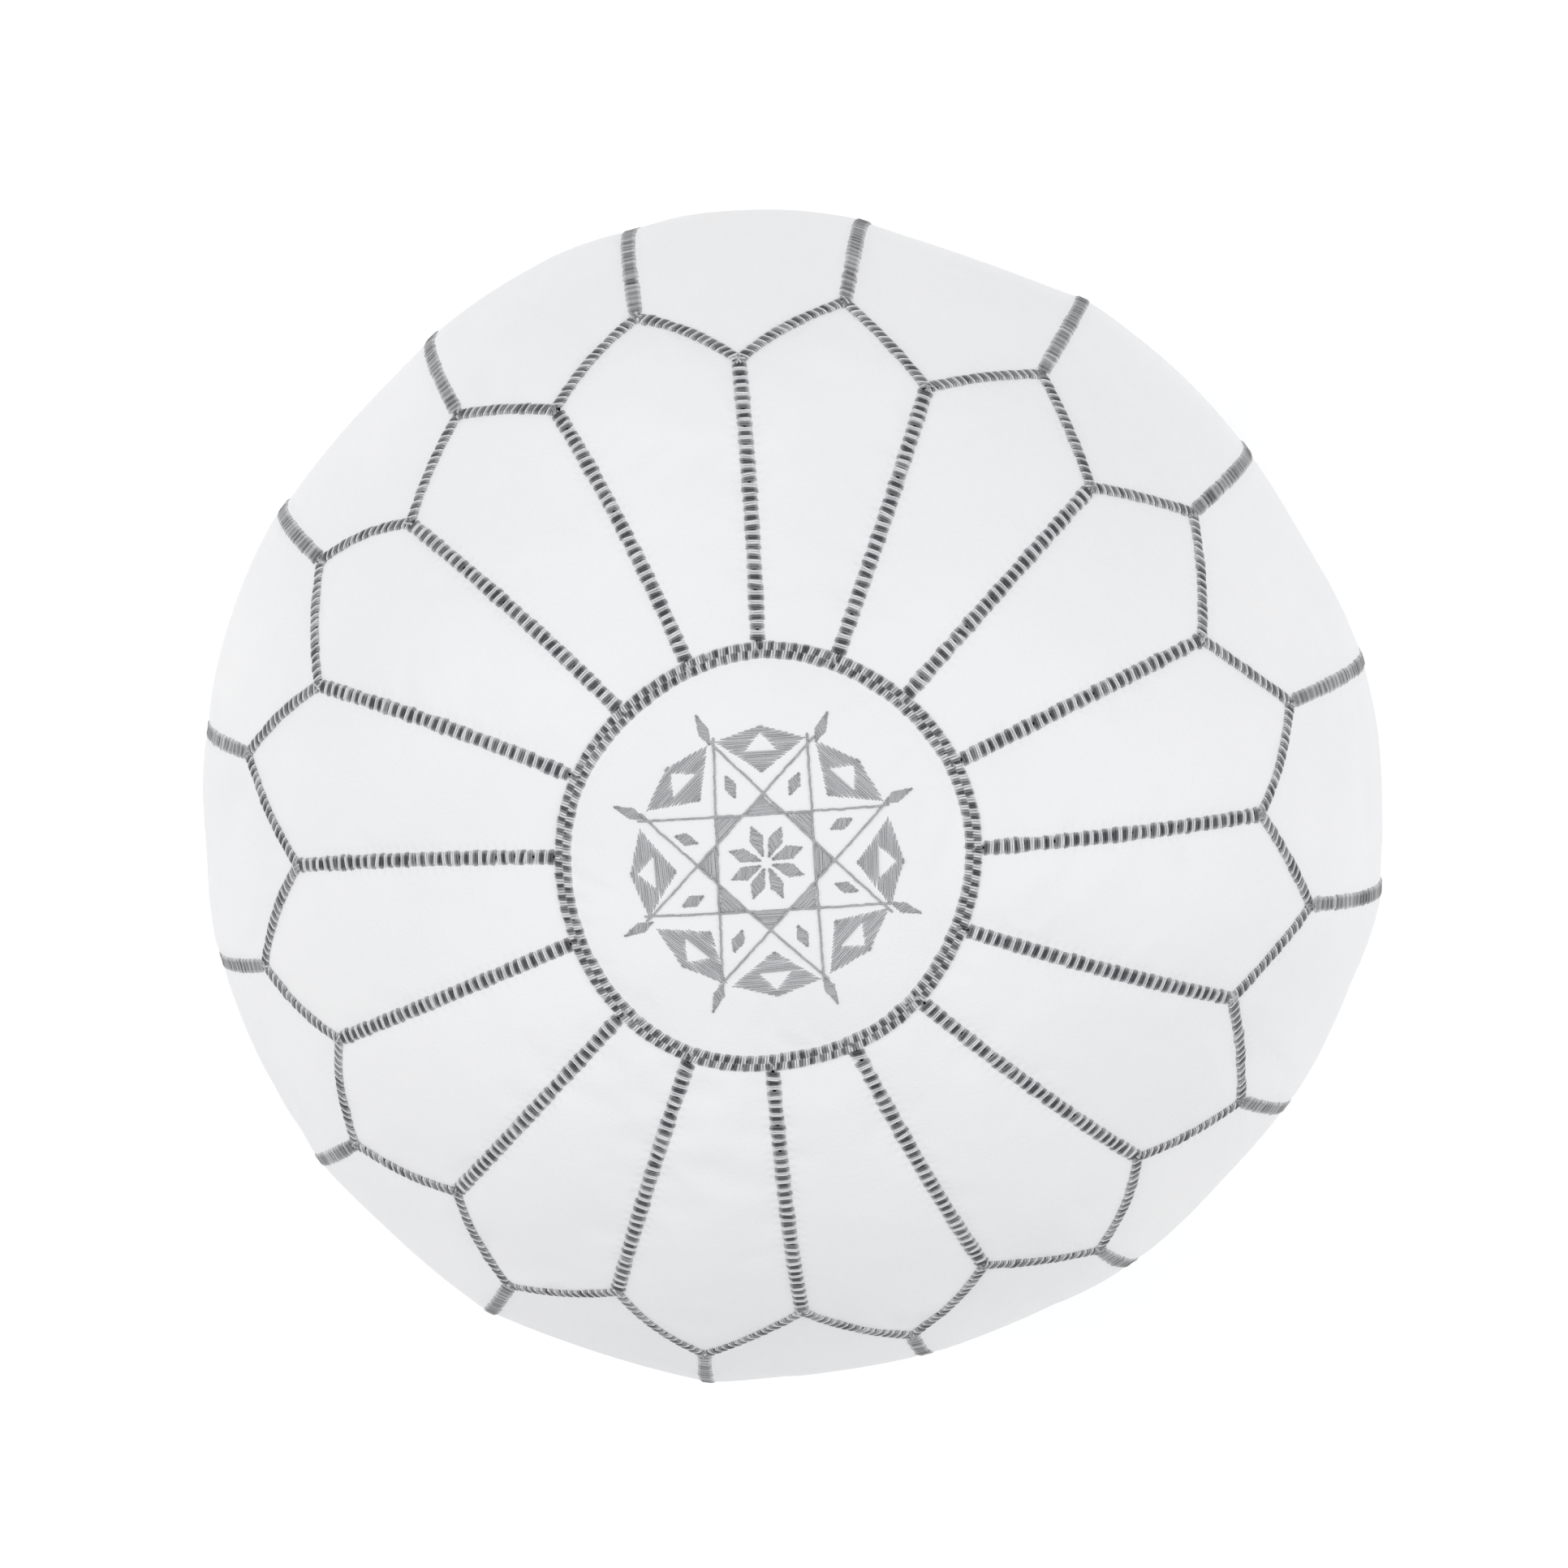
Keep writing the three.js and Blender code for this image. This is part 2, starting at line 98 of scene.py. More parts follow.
class PoufShape(bpy.types.PropertyGroup):
    """The stuffed shape and the places of its seams"""

    total_height: length("Height", "Floor to the top of the medallion", high("medallion")[2])
    widest_radius: length("Widest radius", "Radius at the widest girth", high("side_panel_01")[0])
    widest_height: length("Widest height", "Height of the widest girth", 0.158)
    dome_squareness: number("Dome squareness", "2 is an ellipse, and more is squarer", 2.1)
    underside_depth: length("Underside depth", "How deep the underside would be uncut", 0.18)
    underside_squareness: number("Underside squareness", "Squareness of the underside", 3.2)
    medallion_radius: length("Medallion radius", "Plan radius", high("medallion")[0] + 0.15 * MM)
    valley_radius: length("Valley radius", "Plan radius where two petals part", 0.2055)
    tip_radius: length("Tip radius", "Plan radius of a petal's tip", 0.230)
    base_radius: length("Base radius", "Radius of the flat base", high("base_half_left")[0])
    leather: length("Leather", "Thickness of the leather", 1.3 * MM)
    hand_error: number("Hand error", "How unevenly it was cut, from 0 to 2", 1.0)


class PoufStitches(bpy.types.PropertyGroup):
    """The hand stitching"""

    thread: length("Thread", "Radius of a thread", 0.52 * MM)
    petal_band: length("Petal band", "Width of the stitches between petals", 6.9 * MM)
    petal_pitch: length("Petal pitch", "Distance between stitches between petals", 4.2 * MM)
    zigzag_band: length("Zigzag band", "Width of the stitches round the petals' ends", 6.0 * MM)
    zigzag_pitch: length("Zigzag pitch", "Distance between stitches round the ends", 3.5 * MM)
    ring_band: length("Ring band", "Width of the stitches round the medallion", 7.8 * MM)
    ring_pitch: length("Ring pitch", "Distance between stitches round the medallion", 4.6 * MM)
    side_band: length("Side band", "Width of the stitches down the sides", 7.4 * MM)
    side_pitch: length("Side pitch", "Distance between stitches down the sides", 3.8 * MM)
    foot_band: length("Foot band", "Width of the stitches round the foot", 5.0 * MM)
    fill_pitch: length("Fill pitch", "Distance between threads of the embroidery", 0.8 * MM)


class PoufFinish(bpy.types.PropertyGroup):
    """Colours"""

    leather: colour("Leather", "Dyed leather", (0.87, 0.87, 0.885))
    dark_thread: colour("Dark thread", "The bars of the ladder stitches", (0.085, 0.085, 0.095))
    pale_thread: colour("Pale thread", "The thread between the bars", (0.90, 0.90, 0.91))
    star_thread: colour("Star thread", "Thread of the embroidery", (0.57, 0.57, 0.585))
    tape: colour("Zip tape", "Woven tape", (0.80, 0.80, 0.78))
    teeth: colour("Zip teeth", "Moulded teeth", (0.82, 0.82, 0.80))
    metal: colour("Zip metal", "Nickel plate", (0.66, 0.66, 0.67))
    calico: colour("Calico", "The inner bag's cloth", (0.76, 0.71, 0.60))
    cotton: colour("Cotton", "The stuffing", (0.84, 0.81, 0.73))


class PoufStudio(bpy.types.PropertyGroup):
    """The camera"""

    distance: length("Distance", "From the camera to the middle of the pouf", 2.0)
    azimuth: bpy.props.FloatProperty(
        name="Azimuth",
        description="Where the camera stands round the pouf",
        default=math.radians(64.4),
        subtype="ANGLE",
    )
    tilt: bpy.props.FloatProperty(
        name="Tilt",
        description="How far the camera leans away from straight above",
        default=math.radians(8.9),
        subtype="ANGLE",
    )
    roll: bpy.props.FloatProperty(
        name="Roll",
        description="The bearing on the floor that is up in the picture, from +Y",
        default=math.radians(-3.6),
        subtype="ANGLE",
    )
    lens: number("Lens", "Focal length in millimetres, on a 36 mm frame", 102.5)


def shape():
    return bpy.context.scene.pouf_shape


def stitches():
    return bpy.context.scene.pouf_stitches


def finish():
    return bpy.context.scene.pouf_finish


# ---------------------------------------------------------------- the stuffed form


def mix(a, b, t):
    return a + (b - a) * t


def unit(vectors):
    return vectors / np.linalg.norm(vectors, axis=-1, keepdims=True)


PROFILE_POINTS = 3000


class Profile:
    """The skin in section, as a run from the middle of the top down to the foot of the sides."""

    def __init__(self):
        s = shape()
        dome = np.linspace(math.pi / 2, 0, PROFILE_POINTS)
        ratio = s.widest_height / s.underside_depth
        lowest = math.asin(ratio ** (s.underside_squareness / 2))
        under = np.linspace(0, lowest, PROFILE_POINTS)[1:]
        dome_power, under_power = 2 / s.dome_squareness, 2 / s.underside_squareness
        rise = s.total_height - s.widest_height
        self.radius = s.widest_radius * np.concatenate(
            [np.cos(dome).clip(0) ** dome_power, np.cos(under) ** under_power]
        )
        self.height = s.widest_height + np.concatenate(
            [rise * np.sin(dome) ** dome_power, -s.underside_depth * np.sin(under) ** under_power]
        )
        steps = np.hypot(np.diff(self.radius), np.diff(self.height))
        self.run = np.concatenate([[0], np.cumsum(steps)])
        self.foot = self.run[-1]

    def run_at_radius(self, radius):
        dome = self.height >= shape().widest_height
        return float(np.interp(radius, self.radius[dome], self.run[dome]))

    def section(self, run):
        return np.interp(run, self.run, self.radius), np.interp(run, self.run, self.height)

    def normal(self, run):
        """The outward slope of the skin in section, as a radial part and a vertical part."""
        step = 1.5 * MM
        r0, z0 = self.section(run - step)
        r1, z1 = self.section(run + step)
        size = np.hypot(r1 - r0, z1 - z0)
        return (z0 - z1) / size, (r1 - r0) / size


@lru_cache
def profile():
    return Profile()


def waves(angle, sizes):
    """A smooth unevenness round the pouf: each wave has a count, a height and a bearing."""
    return sum(size * np.cos(count * angle - bearing) for count, size, bearing in sizes)


# Each wave's count round the pouf, its height in millimetres, and its bearing in radians.
HEAVES = (
    (1, 2.1, -1.8),
    (2, 1.9, 0.8),
    (3, 4.1, -0.5),
    (4, 1.6, -0.8),
    (6, 0.6, 0.1),
    (7, 1.2, -0.2),
)
TAKEN_IN = 2.4 * MM
FLATNESS = 1.6 * MM
# Shares of the run from the top to the foot, for the flatness between the side seams: where it
# starts, how long it takes to grow, and how long it takes to fade above the foot.
FLAT_FROM, FLAT_GROWTH, FLAT_FADE = 0.2, 0.27, 0.2


def heave(angle, run):
    """How far the skin stands off its even form: pushed out or let in by the hand that stuffed
    it, and stretched flat between the side seams. Nothing at the top and the foot."""
    part = np.clip(run / profile().foot, 0, 1)
    swell = np.sin(np.pi * part) ** 1.5
    across = (angle * PETALS / (2 * np.pi) + 0.5) % 1
    grown = np.clip((part - FLAT_FROM) / FLAT_GROWTH, 0, 1) ** 2
    stretched = 4 * across * (1 - across) * grown
    foot_fade = np.clip((1 - part) / FLAT_FADE, 0, 1)
    unevenness = (waves(angle, HEAVES) * MM * shape().hand_error - TAKEN_IN) * swell
    return unevenness - FLATNESS * stretched * foot_fade


def skin_point(angle, run, lift=0.0):
    """Places on the skin, from angles round the pouf, runs down from the top, and heights off it."""
    angle, run, lift = np.broadcast_arrays(*(np.asarray(a, float) for a in (angle, run, lift)))
    radius, height = profile().section(run)
    out, up = profile().normal(run)
    offset = lift + heave(angle, run)
    reach = radius + out * offset
    return np.stack([reach * np.cos(angle), reach * np.sin(angle), height + up * offset], -1)


def skin_normal(angle, run):
    angle, run = np.broadcast_arrays(np.asarray(angle, float), np.asarray(run, float))
    out, up = profile().normal(run)
    return np.stack([out * np.cos(angle), out * np.sin(angle), up + 0 * out], -1)


# Waves in the seams. The turns are in degrees, and the sways in millimetres.
RING_TURNS = ((0, -1.7, 0.0), (1, 2.2, -0.8), (2, 1.5, 1.2))
RING_SWAYS = ((0, -0.8, 0.0), (1, 2.2, 0.0), (2, 1.4, 2.1))
ZIGZAG_SWAYS = ((1, 3.2, -1.0), (2, 3.0, -2.3), (3, 4.4, 3.0))


class SeamPlan:
    """Where the seams lie. A place round the pouf is counted in petals, so the first petal lies
    between 0 and 1, the valleys are at whole numbers, and the tips halfway between them."""

    ROUND_KNOTS = np.arange(2 * PETALS + 1) / 2

    def __init__(self):
        s = shape()
        self.hand = s.hand_error
        chance = np.random.default_rng(16)

        def errors(size, count=PETALS):
            drawn = chance.normal(0, size * s.hand_error, count).clip(-2 * size, 2 * size)
            return np.append(drawn, drawn[0])

        self.ring_run = profile().run_at_radius(s.medallion_radius)
        self.foot_run = profile().foot
        valley_run = profile().run_at_radius(s.valley_radius) + 1.5 * MM
        tip_run = profile().run_at_radius(s.tip_radius) + 2.5 * MM
        self.ring_error = errors(0.012)
        self.zigzag_error = errors(0.006, 2 * PETALS)
        knot_angle = np.arange(2 * PETALS + 1) * math.pi / PETALS
        at_tip = np.arange(2 * PETALS + 1) % 2
        sway = waves(knot_angle, ZIGZAG_SWAYS) * MM * s.hand_error * (0.7 + 0.6 * at_tip)
        self.zigzag_knots = mix(valley_run, tip_run, at_tip) + sway + errors(1.4 * MM, 2 * PETALS)
        self.foot_error = errors(0.01)
        self.bow = errors(1.2 * MM, 2 * PETALS)

    def ring(self, place):
        """The medallion's seam."""
        error = np.interp(place % PETALS, np.arange(PETALS + 1), self.ring_error)
        angle = place * 2 * math.pi / PETALS
        error = error + np.radians(waves(angle, RING_TURNS)) * self.hand
        run = self.ring_run + (waves(angle, RING_SWAYS) + 0.6 * np.sin(5 * angle)) * MM * self.hand
        return angle + error, run

    def zigzag(self, place):
        """The seam round the petals' ends."""
        inside = place % PETALS
        error = np.interp(inside, self.ROUND_KNOTS, self.zigzag_error)
        angle = place * 2 * math.pi / PETALS + error
        run = np.interp(inside, self.ROUND_KNOTS, self.zigzag_knots)
        edge = np.floor(2 * inside + 1e-9).astype(int) % (2 * PETALS)
        run = run + (0.8 * MM + self.bow[edge]) * np.sin(np.pi * ((2 * inside) % 1))
        return angle, run

    def foot(self, place):
        """The seam between the sides and the base. Side seams meet it at half numbers."""
        error = np.interp((place - 0.5) % PETALS, np.arange(PETALS + 1), self.foot_error)
        angle = place * 2 * math.pi / PETALS + error
        return angle, self.foot_run + 0 * angle


@lru_cache
def plan():
    return SeamPlan()


def between(edge_a, edge_b, place, down):
    """A place between two seams: at the first where down is 0, and at the second where it is 1."""
    angle_a, run_a = edge_a(place)
    angle_b, run_b = edge_b(place)
    return mix(angle_a, angle_b, down), mix(run_a, run_b, down)


# ---------------------------------------------------------------- the sewn and stuffed skin

CUTS_ACROSS = 16
PETAL_CUTS = 30
SIDE_CUTS = 54
MEDALLION = 0  # a face's piece number: petals are 1 to 16, and side panels 17 to 32


def grid_patch(bm, cuts_across, cuts_down, place):
    """A grid whose vertices a function places, from their x and y, which run from -1 to 1."""
    made = bmesh.ops.create_grid(bm, x_segments=cuts_across, y_segments=cuts_down, size=1)
    verts = made["verts"]
    at = np.array([v.co for v in verts])
    for vert, co in zip(verts, place(at[:, 0], at[:, 1])):
        vert.co = co
    return {f for v in verts for f in v.link_faces}


def round_square(x, y):
    """A square laid evenly over a disc, as a distance from its middle and an angle."""
    wide = np.abs(x) >= np.abs(y)
    tiny = 1e-9
    safe_x = np.where(np.abs(x) < tiny, tiny, x)
    safe_y = np.where(np.abs(y) < tiny, tiny, y)
    radius = np.where(wide, x, y)
    angle = np.where(wide, np.pi / 4 * (y / safe_x), np.pi / 2 - np.pi / 4 * (x / safe_y))
    return np.abs(radius), angle + np.where(radius < 0, np.pi, 0)


def flat_skin():
    """Every leather piece at its place, sewn to its neighbours along shared vertices."""
    bm = bmesh.new()
    piece = bm.faces.layers.int.new("piece")
    seams = plan()

    def label(faces, piece_number):
        for face in faces:
            face[piece] = piece_number

    def on_medallion(x, y):
        part, angle = round_square(x, y)
        place = angle * PETALS / (2 * math.pi)
        rim_angle, rim_run = seams.ring(place)
        return skin_point(mix(angle, rim_angle, part**2), part * rim_run)

    cuts = CUTS_ACROSS * PETALS // 4
    label(grid_patch(bm, cuts, cuts, on_medallion), MEDALLION)
    for k in range(PETALS):

        def on_petal(x, y, k=k):
            place = k + (1 - x) / 2
            return skin_point(*between(seams.ring, seams.zigzag, place, (y + 1) / 2))

        def on_side(x, y, k=k):
            place = k - x / 2
            return skin_point(*between(seams.zigzag, seams.foot, place, (y + 1) / 2))

        label(grid_patch(bm, CUTS_ACROSS, PETAL_CUTS, on_petal), 1 + k)
        label(grid_patch(bm, CUTS_ACROSS, SIDE_CUTS, on_side), 1 + PETALS + k)
    bmesh.ops.remove_doubles(bm, verts=bm.verts, dist=0.05 * MM)
    bmesh.ops.recalc_face_normals(bm, faces=bm.faces)
    if sum(f.normal.dot(f.calc_center_median() - Vector((0, 0, 0.15))) for f in bm.faces) < 0:
        bmesh.ops.reverse_faces(bm, faces=bm.faces)
    return bm


def mesh_points(mesh):
    points = np.empty(3 * len(mesh.vertices))
    mesh.vertices.foreach_get("co", points)
    return points.reshape(-1, 3)


def set_points(mesh, points):
    mesh.vertices.foreach_set("co", np.asarray(points, float).ravel())
    mesh.update()


def mesh_from(bm, name):
    mesh = bpy.data.meshes.new(name)
    bm.to_mesh(mesh)
    bm.free()
    return mesh


def set_attribute(mesh, key, values):
    mesh.attributes.new(key, "FLOAT", "POINT").data.foreach_set("value", values)


def evaluated_mesh(obj):
    depsgraph = bpy.context.evaluated_depsgraph_get()
    return bpy.data.meshes.new_from_object(obj.evaluated_get(depsgraph), depsgraph=depsgraph)


def linked(name, mesh):
    obj = bpy.data.objects.new(name, mesh)
    bpy.context.scene.collection.objects.link(obj)
    return obj


def modified(obj, name, kind, **settings):
    modifier = obj.modifiers.new(name, kind)
    for key, setting in settings.items():
        setattr(modifier, key, setting)


def walled(obj, thickness):
    """Gives a sheet its thickness, inwards."""
    modified(obj, "Wall", "SOLIDIFY", thickness=thickness, offset=-1)


def rounded(obj, width, segments, angle=30):
    limit = math.radians(angle)
    settings = {"width": width, "segments": segments, "limit_method": "ANGLE", "angle_limit": limit}
    modified(obj, "Rounded edges", "BEVEL", **settings)


def subdivided(obj):
    modified(obj, "Smooth", "SUBSURF", levels=1, render_levels=1)


STUFFING_FRAMES = 16
MOST_SWELL = 7 * MM


@lru_cache
def stuffed_skin():
    """The sewn skin after it is stuffed: pressure swells it between its seams, which are held."""
    bm = flat_skin()
    piece = bm.faces.layers.int["piece"]
    bm.verts.ensure_lookup_table()
    seam_verts, slack = [], np.zeros(len(bm.verts))
    chance = np.random.default_rng(7)
    on_petals = chance.uniform(0.1, 0.6, PETALS)
    on_sides = chance.uniform(0, 1, PETALS)
    tautness = np.concatenate([[0.35], on_petals, on_sides])
    for vert in bm.verts:
        numbers = {f[piece] for f in vert.link_faces}
        if len(numbers) > 1 or vert.is_boundary:
            seam_verts.append(vert.index)
        slack[vert.index] = np.mean([tautness[n] for n in numbers])
    at = np.array([v.co for v in bm.verts])
    count = 6
    for size, strength in ((0.045, 0.22), (0.02, 0.16)):
        wave = chance.normal(0, 1 / size, (count, 3))
        phase = chance.uniform(0, 6.28, count)
        slack += strength * np.sin(at @ wave.T + phase).mean(axis=1) * 2
    mesh = mesh_from(bm, "skin")
    skin = linked("skin", mesh)
    pins = skin.vertex_groups.new(name="seams")
    pins.add(seam_verts, 1.0, "REPLACE")
    tight = skin.vertex_groups.new(name="tautness")
    for i, weight in enumerate(slack.clip(0, 1)):
        tight.add([i], float(weight), "REPLACE")
    set_points(mesh, inflated(skin, at))
    bpy.data.objects.remove(skin)
    return mesh


def inflated(skin, start):
    """The points of the skin after the cloth simulation, none of them moved too far."""
    modifier = skin.modifiers.new("Stuffing", "CLOTH")
    cloth = modifier.settings
    cloth.quality = 6
    cloth.mass = 0.15
    cloth.tension_stiffness = cloth.compression_stiffness = 60
    cloth.shear_stiffness = 30
    cloth.bending_stiffness = 2.5
    cloth.air_damping = 3
    cloth.effector_weights.gravity = 0
    cloth.use_pressure = True
    cloth.uniform_pressure_force = 9
    cloth.vertex_group_mass = "seams"
    cloth.vertex_group_shrink = "tautness"
    cloth.shrink_min = -0.016
    cloth.shrink_max = 0.006
    modifier.collision_settings.use_collision = False
    modifier.point_cache.frame_start = 1
    modifier.point_cache.frame_end = STUFFING_FRAMES
    scene = bpy.context.scene
    for step in range(1, STUFFING_FRAMES + 1):
        scene.frame_set(step)
    swollen = mesh_points(evaluated_mesh(skin))
    skin.modifiers.clear()
    scene.frame_set(1)
    moved = swollen - start
    far = np.linalg.norm(moved, axis=1)
    return start + moved * (MOST_SWELL * np.tanh(far / MOST_SWELL) / far.clip(1e-9))[:, None]


@lru_cache
def skin_tree():
    """The stuffed skin, smoothed, to lay thread on."""
    probe = linked("probe", stuffed_skin().copy())
    subdivided(probe)
    mesh = evaluated_mesh(probe)
    points = [Vector(p) for p in mesh_points(mesh)]
    tree = BVHTree.FromPolygons(points, [tuple(p.vertices) for p in mesh.polygons])
    bpy.data.objects.remove(probe)
    bpy.data.meshes.remove(mesh)
    return tree


def laid(points, normals):
    """Points dropped along their normals onto the stuffed skin."""
    tree = skin_tree()
    above = 20 * MM
    dropped = np.empty_like(points)
    for i, (point, normal) in enumerate(zip(points.reshape(-1, 3), normals.reshape(-1, 3))):
        hit = tree.ray_cast(Vector(point + normal * above), Vector(-normal), 2 * above)[0]
        dropped.reshape(-1, 3)[i] = point if hit is None else hit
    return dropped


# ---------------------------------------------------------------- shader recipes


class Value:
    """A node's output that can be used in sums."""

    def __init__(self, recipe, socket):
        self.recipe = recipe
        self.socket = socket

    def maths(self, operation, *values):
        return self.recipe.node("Math", {"operation": operation}, dict(enumerate(values)))

    def __add__(self, other):
        return self.maths("ADD", self, other)

    __radd__ = __add__

    def __sub__(self, other):
        return self.maths("SUBTRACT", self, other)

    def __rsub__(self, other):
        return self.maths("SUBTRACT", other, self)

    def __mul__(self, other):
        return self.maths("MULTIPLY", self, other)

    __rmul__ = __mul__

    def sine(self):
        return self.maths("SINE", self)

    def size(self):
        return self.maths("ABSOLUTE", self)

    def clipped(self):
        return self.recipe.node("Clamp", {}, {"Value": self})

    def ramp(self, start, end, start_value=0.0, end_value=1.0):
        values = {"Value": self, "From Min": start, "From Max": end}
        values.update({"To Min": start_value, "To Max": end_value})
        return self.recipe.node("MapRange", {"interpolation_type": "SMOOTHSTEP"}, values)


class Recipe:
    """A material that is built one node at a time."""

    def __init__(self, name):
        self.material = bpy.data.materials.new(name)
        self.material.use_nodes = True
        self.tree = self.material.node_tree
        self.tree.nodes.clear()
        output = self.tree.nodes.new("ShaderNodeOutputMaterial")
        self.shader = self.tree.nodes.new("ShaderNodeBsdfPrincipled")
        self.tree.links.new(self.shader.outputs[0], output.inputs[0])

    def node(self, kind, settings, values, output=0):
        made = self.tree.nodes.new("ShaderNode" + kind)
        for key, setting in settings.items():
            setattr(made, key, setting)
        for key, value in values.items():
            self.feed(made.inputs[key], value)
        return Value(self, made.outputs[output])

    def feed(self, socket, value):
        if isinstance(value, Value):
            self.tree.links.new(value.socket, socket)
        else:
            socket.default_value = value

    def finish(self, **values):
        for key, value in values.items():
            self.feed(self.shader.inputs[key.replace("_", " ")], value)
        return self.material

    def place(self):
        return self.node("TexCoord", {}, {}, "Object")

    def parts(self, vector):
        """The three parts of a vector."""
        split = self.node("SeparateXYZ", {}, {0: vector})
        return [Value(self, socket) for socket in split.socket.node.outputs]

    def attribute(self, name):
        return self.node("Attribute", {"attribute_name": name}, {}, "Fac")

    def noise(self, scale, detail):
        values = {"Vector": self.place(), "Scale": scale, "Detail": detail}
        return self.node("TexNoise", {}, values, "Fac")

    def cells(self, scale):
        values = {"Vector": self.place(), "Scale": scale, "Smoothness": 0.4}
        return self.node("TexVoronoi", {"feature": "SMOOTH_F1"}, values, "Distance")

    def blend(self, first, second, factor):
        values = {0: factor, 6: first, 7: second}
        return self.node("Mix", {"data_type": "RGBA"}, values, 2)

    def bump(self, height, distance):
        return self.node("Bump", {}, {"Height": height, "Distance": distance}, "Normal")


def shaded(tint, factor):
    """A colour made lighter or darker, as a shader colour."""
    return tuple(min(1.0, c * factor) for c in tint) + (1.0,)


@lru_cache
def leather_material():
    """Dyed leather: pebbled grain, soft creases, dimples where the stitches pull, and painted shade
    with a little soil near the seams.
    """
    r = Recipe("white leather")
    tint = finish().leather
    patches = r.noise(9, 3).ramp(0.3, 0.7)
    warm = (tint[0], tint[1] * 0.997, tint[2] * 0.985)
    base = r.blend(shaded(tint, 0.985), shaded(warm, 1.02), patches)
    # Painted shade by the seams, mottled, with a little soil: the leather is darker within 5 mm of a
    # seam.
    near_seam = 1 - r.attribute("seam").ramp(0.2 * MM, 5 * MM)
    seam_shade_and_soil = near_seam * r.noise(160, 4).ramp(0.25, 0.75, 0.25, 0.8)
    base = r.blend(base, shaded(tint, 0.82), seam_shade_and_soil * 0.35)
    grain = 1 - r.cells(720).ramp(0.1, 0.75)
    pores = r.noise(2600, 3)
    creases = r.noise(48, 5).ramp(0.35, 0.65) * 0.22 + r.noise(17, 3).ramp(0.25, 0.75) * 1.6
    pulled = (r.attribute("stitch") * TURN).sine() * 0.5 + 0.5
    stitch_end = 4.4 * MM
    away = (r.attribute("seam") - stitch_end).size()
    dimple = pulled * (1 - away.ramp(0, 3.2 * MM)) * r.attribute("clear")
    height = grain * 0.13 + pores * 0.05 + creases - dimple * 0.5
    rough = 0.44 + grain * 0.1 + patches * 0.05
    return r.finish(
        Base_Color=base, Roughness=rough, Normal=r.bump(height, 0.45 * MM), Specular_IOR_Level=0.3
    )


def thread_recipe(name, dark, pale, end_shade, sheen):
    """Twisted thread: its ply is a spiral, with painted shade in its grooves. Towards its ends it
    turns to the paler tone, painted light as if lit from beside where it dives, with thinner dye,
    and it is shaded a little by painted shade where it enters the leather."""
    r = Recipe(name)
    along, around, _ = r.parts(r.node("UVMap", {"uv_map": "thread"}, {}))
    ply = ((along * 3.5 + around) * (2 * TURN)).sine() * 0.5 + 0.5
    fuzz = r.noise(3000, 2)
    # Painted shade: darker in the grooves of the ply and towards the ends, where the thread enters
    # the leather.
    entering = along.size().ramp(0.35, 1.0) * (1 - end_shade)
    shade = 1 - (1 - ply) * 0.22 - entering + (fuzz - 0.5) * 0.25
    # Painted light, with thinner dye: the thread turns paler towards its ends.
    ends_lit_and_thinly_dyed = along.size().ramp(0.35, 0.95, 0, 0.5)
    base = r.blend(shaded(dark, 1), shaded(pale, 1), (r.attribute("tone") + ends_lit_and_thinly_dyed).clipped())
    base = r.blend((0, 0, 0, 1), base, shade.clipped())
    return r.finish(
        Base_Color=base,
        Roughness=0.55 + fuzz * 0.2,
        Normal=r.bump(ply * 0.7 + fuzz * 0.3, 0.12 * MM),
        Sheen_Weight=sheen,
    )


@lru_cache
def seam_thread_material():
    dark, pale = finish().dark_thread, finish().pale_thread
    return thread_recipe("two-tone seam thread", dark, pale, 0.88, 0.1)


@lru_cache
def star_thread_material():
    tint = finish().star_thread
    return thread_recipe("star thread", shaded(tint, 0.85)[:3], shaded(tint, 1.15)[:3], 0.85, 0.2)


@lru_cache
def tape_material():
    """Herringbone zip tape."""
    r = Recipe("woven zip tape")
    x, y, _ = r.parts(r.place())
    rib = ((x + y.size()) * 5200).sine() * 0.5 + 0.5
    weft = (x * 9000).sine() * 0.5 + 0.5
    weave = rib * 0.7 + weft * 0.3
    base = r.blend(shaded(finish().tape, 0.8), shaded(finish().tape, 1.02), weave)
    return r.finish(Base_Color=base, Roughness=0.85, Normal=r.bump(weave, 0.15 * MM))


@lru_cache
def teeth_material():
    r = Recipe("moulded zip teeth")
    flow = r.noise(700, 3)
    base = r.blend(shaded(finish().teeth, 0.93), shaded(finish().teeth, 1.0), flow)
    return r.finish(Base_Color=base, Roughness=0.3 + flow * 0.15, Normal=r.bump(flow, 0.03 * MM))


@lru_cache
def metal_material():
    """Nickel plate with fine scratches and a little tarnish."""
    r = Recipe("nickel plate")
    tarnish = r.noise(260, 4).ramp(0.4, 0.75)
    scratches = r.noise(2400, 6)
    base = r.blend(shaded(finish().metal, 1.0), shaded(finish().metal, 0.72), tarnish)
    rough = 0.2 + tarnish * 0.15 + scratches * 0.12
    scratched = r.bump(scratches, 0.02 * MM)
    return r.finish(Base_Color=base, Metallic=1.0, Roughness=rough, Normal=scratched)


@lru_cache
def calico_material():
    r = Recipe("calico")
    x, y, z = r.parts(r.place())
    weave = ((x + z) * 7000).sine() * ((y - z) * 7000).sine() * 0.5 + 0.5
    cloth = weave * 0.6 + r.noise(500, 4) * 0.4
    base = r.blend(shaded(finish().calico, 0.88), shaded(finish().calico, 1.04), cloth)
    return r.finish(Base_Color=base, Roughness=0.92, Normal=r.bump(cloth, 0.2 * MM))


@lru_cache
def cotton_material():
    r = Recipe("cotton stuffing")
    tufts = r.noise(90, 6)
    base = r.blend(shaded(finish().cotton, 0.9), shaded(finish().cotton, 1.05), tufts)
    return r.finish(Base_Color=base, Roughness=0.95, Normal=r.bump(tufts, 1.2 * MM))


